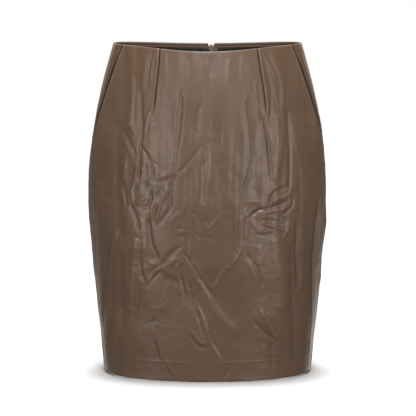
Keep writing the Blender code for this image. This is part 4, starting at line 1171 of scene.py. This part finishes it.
neck, bar, hole_end, limb = (PULL[key] for key in ("neck", "bar", "hole_end", "limb"))
rim = [(-neck, -bar), (neck, -bar), (neck, hole_end)]
rim += arc(0, PULL["length"] - PULL["wide"], PULL["wide"], 0, 180, 16) + [(-neck, hole_end)]
eye = [(-limb, bar), (-limb, hole_end), (limb, hole_end), (limb, bar)]
tab = flat_piece("pull", [rim, eye], -PULL["half_thickness"], PULL["half_thickness"], PULL["bevel"])
pull = joined("pull_tab", [tab])
print("slider is", [round(x / MM, 1) for x in slider.dimensions], "mm")

# %% [markdown]
# ## Things that repeat
# Stitches and zip coils follow a line. A loop in Python could place them too, but one Geometry
# Nodes tree spaces copies of a small thing along any curve, turns each along it, and makes the
# result one mesh.

# %% The tree
def node(tree, kind, settings=None, **links):
    """Adds a node. settings are its properties and unlinked inputs, and links feed its inputs."""
    made = tree.nodes.new(kind)
    for key, value in (settings or {}).items():
        if hasattr(made, key):
            setattr(made, key, value)
        else:
            made.inputs[key.replace("_", " ")].default_value = value
    for key, source in links.items():
        tree.links.new(source, made.inputs[key.replace("_", " ")])
    return made


def repeat_tree():
    tree = bpy.data.node_groups.new("repeat_along_line", "GeometryNodeTree")
    for name, kind in (("Geometry", "Geometry"), ("Thing", "Object"), ("Spacing", "Float"),
                       ("Facing", "Vector"), ("Material", "Material")):
        tree.interface.new_socket(name, in_out="INPUT", socket_type="NodeSocket" + kind)
    tree.interface.new_socket("Geometry", in_out="OUTPUT", socket_type="NodeSocketGeometry")
    given = node(tree, "NodeGroupInput").outputs
    spaced = node(tree, "GeometryNodeResampleCurve", {"mode": "LENGTH"},
                  Curve=given["Geometry"], Length=given["Spacing"])
    thing = node(tree, "GeometryNodeObjectInfo", {}, Object=given["Thing"])
    tangent = node(tree, "GeometryNodeInputTangent")
    turned = node(tree, "FunctionNodeAlignRotationToVector", {"axis": "X"},
                  Vector=tangent.outputs["Tangent"])
    faced = node(tree, "FunctionNodeAlignRotationToVector", {"axis": "Z", "pivot_axis": "X"},
                 Rotation=turned.outputs["Rotation"], Vector=given["Facing"])
    placed = node(tree, "GeometryNodeInstanceOnPoints", {}, Points=spaced.outputs["Curve"],
                  Instance=thing.outputs["Geometry"], Rotation=faced.outputs["Rotation"])
    real = node(tree, "GeometryNodeRealizeInstances", {}, Geometry=placed.outputs["Instances"])
    dressed = node(tree, "GeometryNodeSetMaterial", {}, Geometry=real.outputs["Geometry"],
                   Material=given["Material"])
    node(tree, "NodeGroupOutput", {}, Geometry=dressed.outputs["Geometry"])
    return tree


REPEAT = repeat_tree()


def repeat(name, lines_of_points, thing, spacing, facing, material):
    """Copies of a small thing along lines, as one mesh. The thing itself goes."""
    curve = bpy.data.curves.new(name + "_line", "CURVE")
    curve.dimensions = "3D"
    add_lines(curve, lines_of_points)
    holder = put(name + "_line", curve)
    modifier = holder.modifiers.new("repeat", "NODES")
    modifier.node_group = REPEAT
    sockets = {item.name: item.identifier for item in REPEAT.interface.items_tree
               if item.in_out == "INPUT"}
    for socket, value in (("Thing", thing), ("Spacing", spacing), ("Facing", facing),
                          ("Material", material)):
        modifier[sockets[socket]] = value
    mesh = as_mesh(holder)
    bpy.data.objects.remove(thing)
    mesh.name = name
    mesh.shade_smooth()
    print(f"{name}: {len(mesh.polygons)} faces")
    return put(name, mesh)


def tube(name, centres, radius, sides=6):
    """A small closed tube through centres, for one stitch or one coil."""
    curve = bpy.data.curves.new(name, "CURVE")
    curve.dimensions = "3D"
    curve.bevel_depth, curve.bevel_resolution, curve.use_fill_caps = radius, (sides - 4) // 2, True
    add_lines(curve, [centres])
    return put(name, as_mesh(put(name, curve)))

# %% [markdown]
# ## Materials
# Colours are written as the hex values seen in the picture, and one function turns them linear.

# %% Colour and attribute helpers
def linear(code):
    parts = [int(code[i:i + 2], 16) / 255 for i in (1, 3, 5)]
    return tuple(c / 12.92 if c <= 0.04045 else ((c + 0.055) / 1.055) ** 2.4 for c in parts) + (1.0,)


def new_material(name, **settings):
    material = bpy.data.materials.new(name)
    material.use_nodes = True
    tree = material.node_tree
    shader = tree.nodes["Principled BSDF"]
    for key, value in settings.items():
        shader.inputs[key.replace("_", " ")].default_value = value
    return material, tree, shader

# %% [markdown]
# Coated cloth is a knit with a soft satin film of polyurethane, pressed with a pebbled grain.
# The fine grain breaks up the highlight, and a slow change of tone keeps it from looking like
# plastic. The tone that each point carries paints shade into troughs and seams and makes them
# dull and without film, and paints pale highlights onto rolled edges.

# %% Coated cloth
CLOTH_BROWN, FACING_BROWN, PAINTED_HIGHLIGHT_COLOUR = "#604a38", "#8a7162", "#aaa29a"
# The tone scales the base colour from painted shade at the darkest to painted highlight at the lightest,
# and from 1.2 up it mixes in a pale painted highlight colour.
TONE_SPAN, TONE_GAIN = (-4.2, 4.0), (0.14, 1.66)    # from the darkest to the lightest tone
PAINTED_HIGHLIGHT_SPAN, PAINTED_HIGHLIGHT_SHARE = (1.2, 4.0), (0.0, 0.45)
DULL_SPAN, DULL_ROUGHNESS = (-3.2, -0.8), 0.95
PATCH_GAIN = (0.90, 1.10)
CLOUDS = {"Scale": 16.0, "Detail": 4.0, "Roughness": 0.55}      # tone patches about 60 mm across
CRINKLE = {"Scale": 170.0, "Detail": 5.0, "Roughness": 0.6}     # about 6 mm across
GRAIN = {"Scale": 900.0}                                        # pebbles of about 1.1 mm
CRINKLE_DEPTH, GRAIN_DEPTH = 0.6 * MM, 0.12 * MM


def spread(tree, value, given, wanted):
    """Spreads a value, from the given range to the wanted one."""
    made = node(tree, "ShaderNodeMapRange",
                {"From_Min": given[0], "From_Max": given[1], "To_Min": wanted[0], "To_Max": wanted[1]},
                Value=value)
    return made.outputs["Result"]


def coated_cloth(name, colour, roughness=0.40, grain=0.35, coat=0.25, specular=0.5):
    material, tree, shader = new_material(name, IOR=1.5, Coat_Roughness=0.34, Specular_IOR_Level=specular)
    place = node(tree, "ShaderNodeTexCoord").outputs["Object"]
    clouds = node(tree, "ShaderNodeTexNoise", CLOUDS, Vector=place).outputs["Fac"]
    # The crease attribute carries the painted shade and highlights, which scale the base colour.
    crease = node(tree, "ShaderNodeAttribute", {"attribute_name": "crease"}).outputs["Fac"]
    both = node(tree, "ShaderNodeMath", {"operation": "MULTIPLY"})
    tree.links.new(spread(tree, clouds, (0.0, 1.0), PATCH_GAIN), both.inputs[0])
    tree.links.new(spread(tree, crease, TONE_SPAN, TONE_GAIN), both.inputs[1])
    base = node(tree, "ShaderNodeRGB")
    base.outputs[0].default_value = linear(colour)
    shade = node(tree, "ShaderNodeVectorMath", {"operation": "SCALE"})
    tree.links.new(base.outputs[0], shade.inputs[0])
    tree.links.new(both.outputs[0], shade.inputs["Scale"])
    # Painted highlight: the lightest tones turn pale grey.
    painted_highlight = node(tree, "ShaderNodeMixRGB", {"Color2": linear(PAINTED_HIGHLIGHT_COLOUR)},
                Fac=spread(tree, crease, PAINTED_HIGHLIGHT_SPAN, PAINTED_HIGHLIGHT_SHARE), Color1=shade.outputs[0])
    tree.links.new(painted_highlight.outputs["Color"], shader.inputs["Base Color"])
    tree.links.new(spread(tree, crease, DULL_SPAN, (DULL_ROUGHNESS, roughness)), shader.inputs["Roughness"])
    tree.links.new(spread(tree, crease, DULL_SPAN, (0.0, coat)), shader.inputs["Coat Weight"])
    pebble = node(tree, "ShaderNodeTexVoronoi", GRAIN, Vector=place)
    crinkle = node(tree, "ShaderNodeTexNoise", CRINKLE, Vector=place)
    fine = node(tree, "ShaderNodeBump", {"Strength": grain, "Distance": GRAIN_DEPTH},
                Height=pebble.outputs["Distance"])
    rough = node(tree, "ShaderNodeBump", {"Strength": grain, "Distance": CRINKLE_DEPTH},
                 Height=crinkle.outputs["Fac"], Normal=fine.outputs["Normal"])
    tree.links.new(rough.outputs["Normal"], shader.inputs["Normal"])
    return material


leather = coated_cloth("brown_coated_cloth", CLOTH_BROWN)
facing_leather = coated_cloth("brown_coated_cloth_facing", FACING_BROWN, roughness=0.5, grain=0.25)
# The cloth inside a pocket mouth shines less than the panels, so its painted shadow stays dark.
pocket_leather = coated_cloth("brown_coated_cloth_pocket", CLOTH_BROWN, coat=0.15, specular=0.2)

# %% [markdown]
# Lining: polyester satin, woven close and calendered, which gives a smooth, broad shine. Tape: a
# dull twill, with a little fuzz that catches light at a slant. Thread: spun polyester, matt.
# Coil: moulded nylon, a soft gloss. Slider: cast zinc with a brown lacquer, a small sharp glint.
# Each weave's threads are drawn coarser than real ones, so that they show in the render.

# %% Woven and metal materials
WAVE_BAND = 0.314       # metres between the bands of a wave texture of scale 1, about 2 pi / 20
WEAVE_STRENGTH, WEAVE_DISTORTION = 0.4, 0.4
SPECKLE_SCALE, SPECKLE_SPREAD = 900.0, 0.06


def woven(name, colour, roughness, thread, depth, sheen=0.0):
    """Threads one way times threads the other way, spaced by the given size."""
    material, tree, shader = new_material(name, Roughness=roughness, IOR=1.5, Sheen_Weight=sheen,
                                          Base_Color=linear(colour))
    place = node(tree, "ShaderNodeTexCoord").outputs["Object"]
    waves = []
    for direction in ("X", "Z"):
        waves.append(node(tree, "ShaderNodeTexWave",
                          {"bands_direction": direction, "Scale": WAVE_BAND / thread,
                           "Distortion": WEAVE_DISTORTION}, Vector=place))
    mixed = node(tree, "ShaderNodeMath", {"operation": "MULTIPLY"})
    for socket, wave in zip(mixed.inputs, waves):
        tree.links.new(wave.outputs["Fac"], socket)
    bump = node(tree, "ShaderNodeBump", {"Strength": WEAVE_STRENGTH, "Distance": depth},
                Height=mixed.outputs[0])
    tree.links.new(bump.outputs["Normal"], shader.inputs["Normal"])
    return material


def plain(name, colour, roughness, metallic=0.0):
    """One colour, with a roughness that varies a little, so the shine is not perfectly even."""
    material, tree, shader = new_material(name, Base_Color=linear(colour), Metallic=metallic, IOR=1.5)
    place = node(tree, "ShaderNodeTexCoord").outputs["Object"]
    noise = node(tree, "ShaderNodeTexNoise", {"Scale": SPECKLE_SCALE, "Detail": 2.0}, Vector=place)
    uneven = spread(tree, noise.outputs["Fac"], (0.0, 1.0),
                    (roughness - SPECKLE_SPREAD, roughness + SPECKLE_SPREAD))
    tree.links.new(uneven, shader.inputs["Roughness"])
    return material


satin = woven("dark_satin_lining", "#141517", 0.5, 0.35 * MM, 0.03 * MM)
twill = woven("brown_zip_tape", "#7c6657", 0.85, 0.5 * MM, 0.12 * MM, sheen=0.2)
thread = plain("brown_thread", "#5a4034", 0.6)
coil_plastic = plain("brown_coil", "#4f4036", 0.4)
lacquer = plain("brown_lacquered_zinc", "#a58f7e", 0.32, metallic=0.2)

MATERIALS = {"front": leather, "back": leather, "bearer": pocket_leather, "facing": facing_leather,
             "lining": satin, "tape": twill, "slider": lacquer, "pull": lacquer}
for piece in (front, *backs.values(), *inner.values(), slider, pull):
    piece.data.materials.append(MATERIALS[piece.name.split("_")[0]])

# %% [markdown]
# ## Stitches and coils
# A row of small stitches holds the facing down, half way along its height. The coils of the
# zip lie on the inner side of the tapes, from below the slider to the zip's foot.

# %% Stitches of the facing
STITCH, STITCH_SPACING, THREAD = 2.5 * MM, 3.3 * MM, 0.22 * MM     # THREAD is its radius
STITCH_LIFT, STITCH_SINK = 0.6 * THREAD, 0.5 * THREAD     # above the facing, and at its two ends
STITCH_LINE_POINTS = 160
LINE_TOP = 4 * MM                          # the drop at which the ends of the lines are found
SEAM_SPACE, FRONT_SPACE = 0.004, 0.02      # radians kept free beside the side seams
NOTCH_SPACE = 1 * MM


def facing_line(start, end, side):
    angle = np.linspace(start, end, STITCH_LINE_POINTS) * side
    drop = waist_drop(angle) + STITCH_LINE
    lift = crease_height(angle, drop) - (facing_inner_depth(angle, drop) + STITCH_LIFT)
    return plain_point(angle, drop) + outward(angle, drop) * lift[..., None]


at_top = np.array(LINE_TOP)
seam_top = float(side_edge(1, at_top)) + SEAM_SPACE
stitch_lines = [facing_line(-seam_top + FRONT_SPACE, seam_top - FRONT_SPACE, 1)]
for side in (1, -1):
    centre = float(back_edge_angle(side, at_top, NOTCH_HALF_WIDTH + NOTCH_SPACE))
    stitch_lines.append(facing_line(seam_top, centre, side))
stitch = tube("stitch", [(-STITCH / 2, 0, -STITCH_SINK), (-STITCH / 3, 0, 0), (STITCH / 3, 0, 0),
                         (STITCH / 2, 0, -STITCH_SINK)], THREAD)
stitches = repeat("facing_stitches", stitch_lines, stitch, STITCH_SPACING, (0, 0, 1), thread)

# %% Coils of the zip
COIL_PITCH, COIL_WIRE, COIL_BEHIND_TAPE = 1.3 * MM, 0.28 * MM, 0.5 * MM     # COIL_WIRE is its radius
COIL_SLANT, COIL_HALF_WIDTH, COIL_HALF_HEIGHT = 0.25 * MM, 1.5 * MM, 0.35 * MM
COIL_POINTS, COIL_LINE_POINTS = 13, 80
BELOW_NOTCH, ABOVE_FOOT = 2 * MM, 4 * MM

drops = np.linspace(BACK_DIP + NOTCH_DEPTH + BELOW_NOTCH, ZIP_LENGTH - ABOVE_FOOT, COIL_LINE_POINTS)
angles = back_edge_angle(1, drops, np.zeros_like(drops))
coil_depth = CLOTH + LAYER_GAP + TAPE + COIL_BEHIND_TAPE
coil_line = plain_point(angles, drops) - outward(angles, drops) * coil_depth
loop = [(COIL_SLANT * math.sin(t), COIL_HALF_WIDTH * math.sin(t), COIL_HALF_HEIGHT * math.cos(t))
        for t in np.linspace(0, 2 * math.pi, COIL_POINTS)]
coil = tube("coil", loop, COIL_WIRE)
coils = repeat("zip_coils", [coil_line], coil, COIL_PITCH, (0, 1, 0), coil_plastic)

# %% [markdown]
# ## Floor, light and camera
# The light is soft and comes from above and in front, as in a product studio, and weaker
# lights at both sides draw the thin bright lines at the outline, together with the painted
# highlight on the back's strip behind each side seam.

# %% Floor
FLOOR_CLEAR = 0.4 * MM       # below the lowest point of the hem
FLOOR_GREY = (0.6, 0.6, 0.6, 1)
bpy.ops.mesh.primitive_plane_add(size=120, location=(0, 0, HEM_LEVEL - HEM_SAG - FLOOR_CLEAR))
floor = bpy.context.object
floor.name = "floor"
floor.data.materials.append(new_material("pale_floor", Base_Color=FLOOR_GREY, Roughness=0.9)[0])
floor.visible_diffuse = floor.visible_glossy = False   # a white floor would fill in every fold
floor.visible_shadow = False     # the rim lights below stand for the light it throws up

# %% Light
SKY_COLOUR, SKY_STRENGTH = (1, 0.95, 0.90, 1), 0.24
OVERHEAD_STRENGTH, OVERHEAD_ANGLE = 4.6, math.radians(17)
OVERHEAD_TILT = math.radians(-6)       # from a little behind, so the shadow falls forward
WHITE, WARM = (1, 1, 1), (1.0, 0.85, 0.72)

world = bpy.data.worlds.new("studio")
bpy.context.scene.world = world
world.use_nodes = True
background = world.node_tree.nodes["Background"].inputs
background["Color"].default_value, background["Strength"].default_value = SKY_COLOUR, SKY_STRENGTH
overhead = bpy.data.lights.new("overhead", "SUN")
overhead.energy, overhead.angle = OVERHEAD_STRENGTH, OVERHEAD_ANGLE
put("overhead", overhead).rotation_euler = (OVERHEAD_TILT, 0, 0)
# Each row: name, place, the point it aims at, width, height and watts
LIGHTS = (
    ("key", (0.08, -2.1, 1.7), (0, 0, -0.2), 0.9, 0.9, 64.0),
    ("fill_left", (-1.5, -2.4, -0.15), (0, 0, -0.4), 0.6, 0.6, 15.0),
    ("fill_right", (1.6, -2.4, -0.15), (0, 0, -0.4), 0.6, 0.6, 14.0),
    ("rim_left", (-1.5, 2.3, -1.3), (0, 0, -0.35), 0.5, 0.8, 2.2),
    ("rim_right", (1.5, 2.3, -1.3), (0, 0, -0.35), 0.5, 0.8, 3.6),
)
for name, place, aim, width, height, watts in LIGHTS:
    lamp = bpy.data.lights.new(name, "AREA")
    lamp.shape, lamp.size, lamp.size_y, lamp.energy = "RECTANGLE", width, height, watts
    lamp.color = WARM if name.startswith("rim") else WHITE
    holder = put(name, lamp)
    holder.location = place
    holder.rotation_euler = (Vector(aim) - Vector(place)).to_track_quat("-Z", "Y").to_euler()

# %% Camera, and plain colours
# A long lens from 4 m away, looking a little down: set so that the outline lies where the photo's does
CAMERA_PLACE, CAMERA_TILT = (0.0008, -4.0, 0.2454), math.radians(90 - 7.055)
LENS, SENSOR_WIDTH = 223.2, 36       # mm
camera = put("camera", bpy.data.cameras.new("camera"))
camera.location, camera.rotation_euler = CAMERA_PLACE, (CAMERA_TILT, 0, 0)
camera.data.lens, camera.data.sensor_width = LENS, SENSOR_WIDTH
bpy.context.scene.camera = camera
bpy.context.scene.view_settings.view_transform = "Standard"

# %% [markdown]
# ## Which piece stands for which CAD node
# The pull tab moves with its own body, and all else with the skirt. Each sheet's cut is that of
# the cloth that shows, without the hem turned up inside and the seam allowances.

# %% Put each piece in place of its CAD node, and print the flat cuts
REPLACED = {
    "front_panel": front, "back_panel_left": backs[1], "back_panel_right": backs[-1],
    "pocket_bearer_left": inner["bearer_left"], "pocket_bearer_right": inner["bearer_right"],
    "waist_facing_front": inner["facing_front"],
    "waist_facing_back_left": inner["facing_back_left"],
    "waist_facing_back_right": inner["facing_back_right"],
    "lining_front": inner["lining_skin_front"],
    "lining_back_left": inner["lining_skin_back_left"],
    "lining_back_right": inner["lining_skin_back_right"],
    "zip_tape_left": inner["tape_left"], "zip_tape_right": inner["tape_right"],
    "zip_slider": slider, "zip_pull": pull,
}
for name, piece in REPLACED.items():
    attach(piece, "zip_pull" if piece == pull else "skirt")
    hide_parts(name)
for piece in (stitches, coils):
    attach(piece, "skirt")

for piece in (front, *backs.values(), *inner.values()):
    width, length, area = (float(size) for size in FLAT[piece.name])
    print(f"{piece.name}: cut {width:.3f} x {length:.3f} m, {area:.4f} m2")
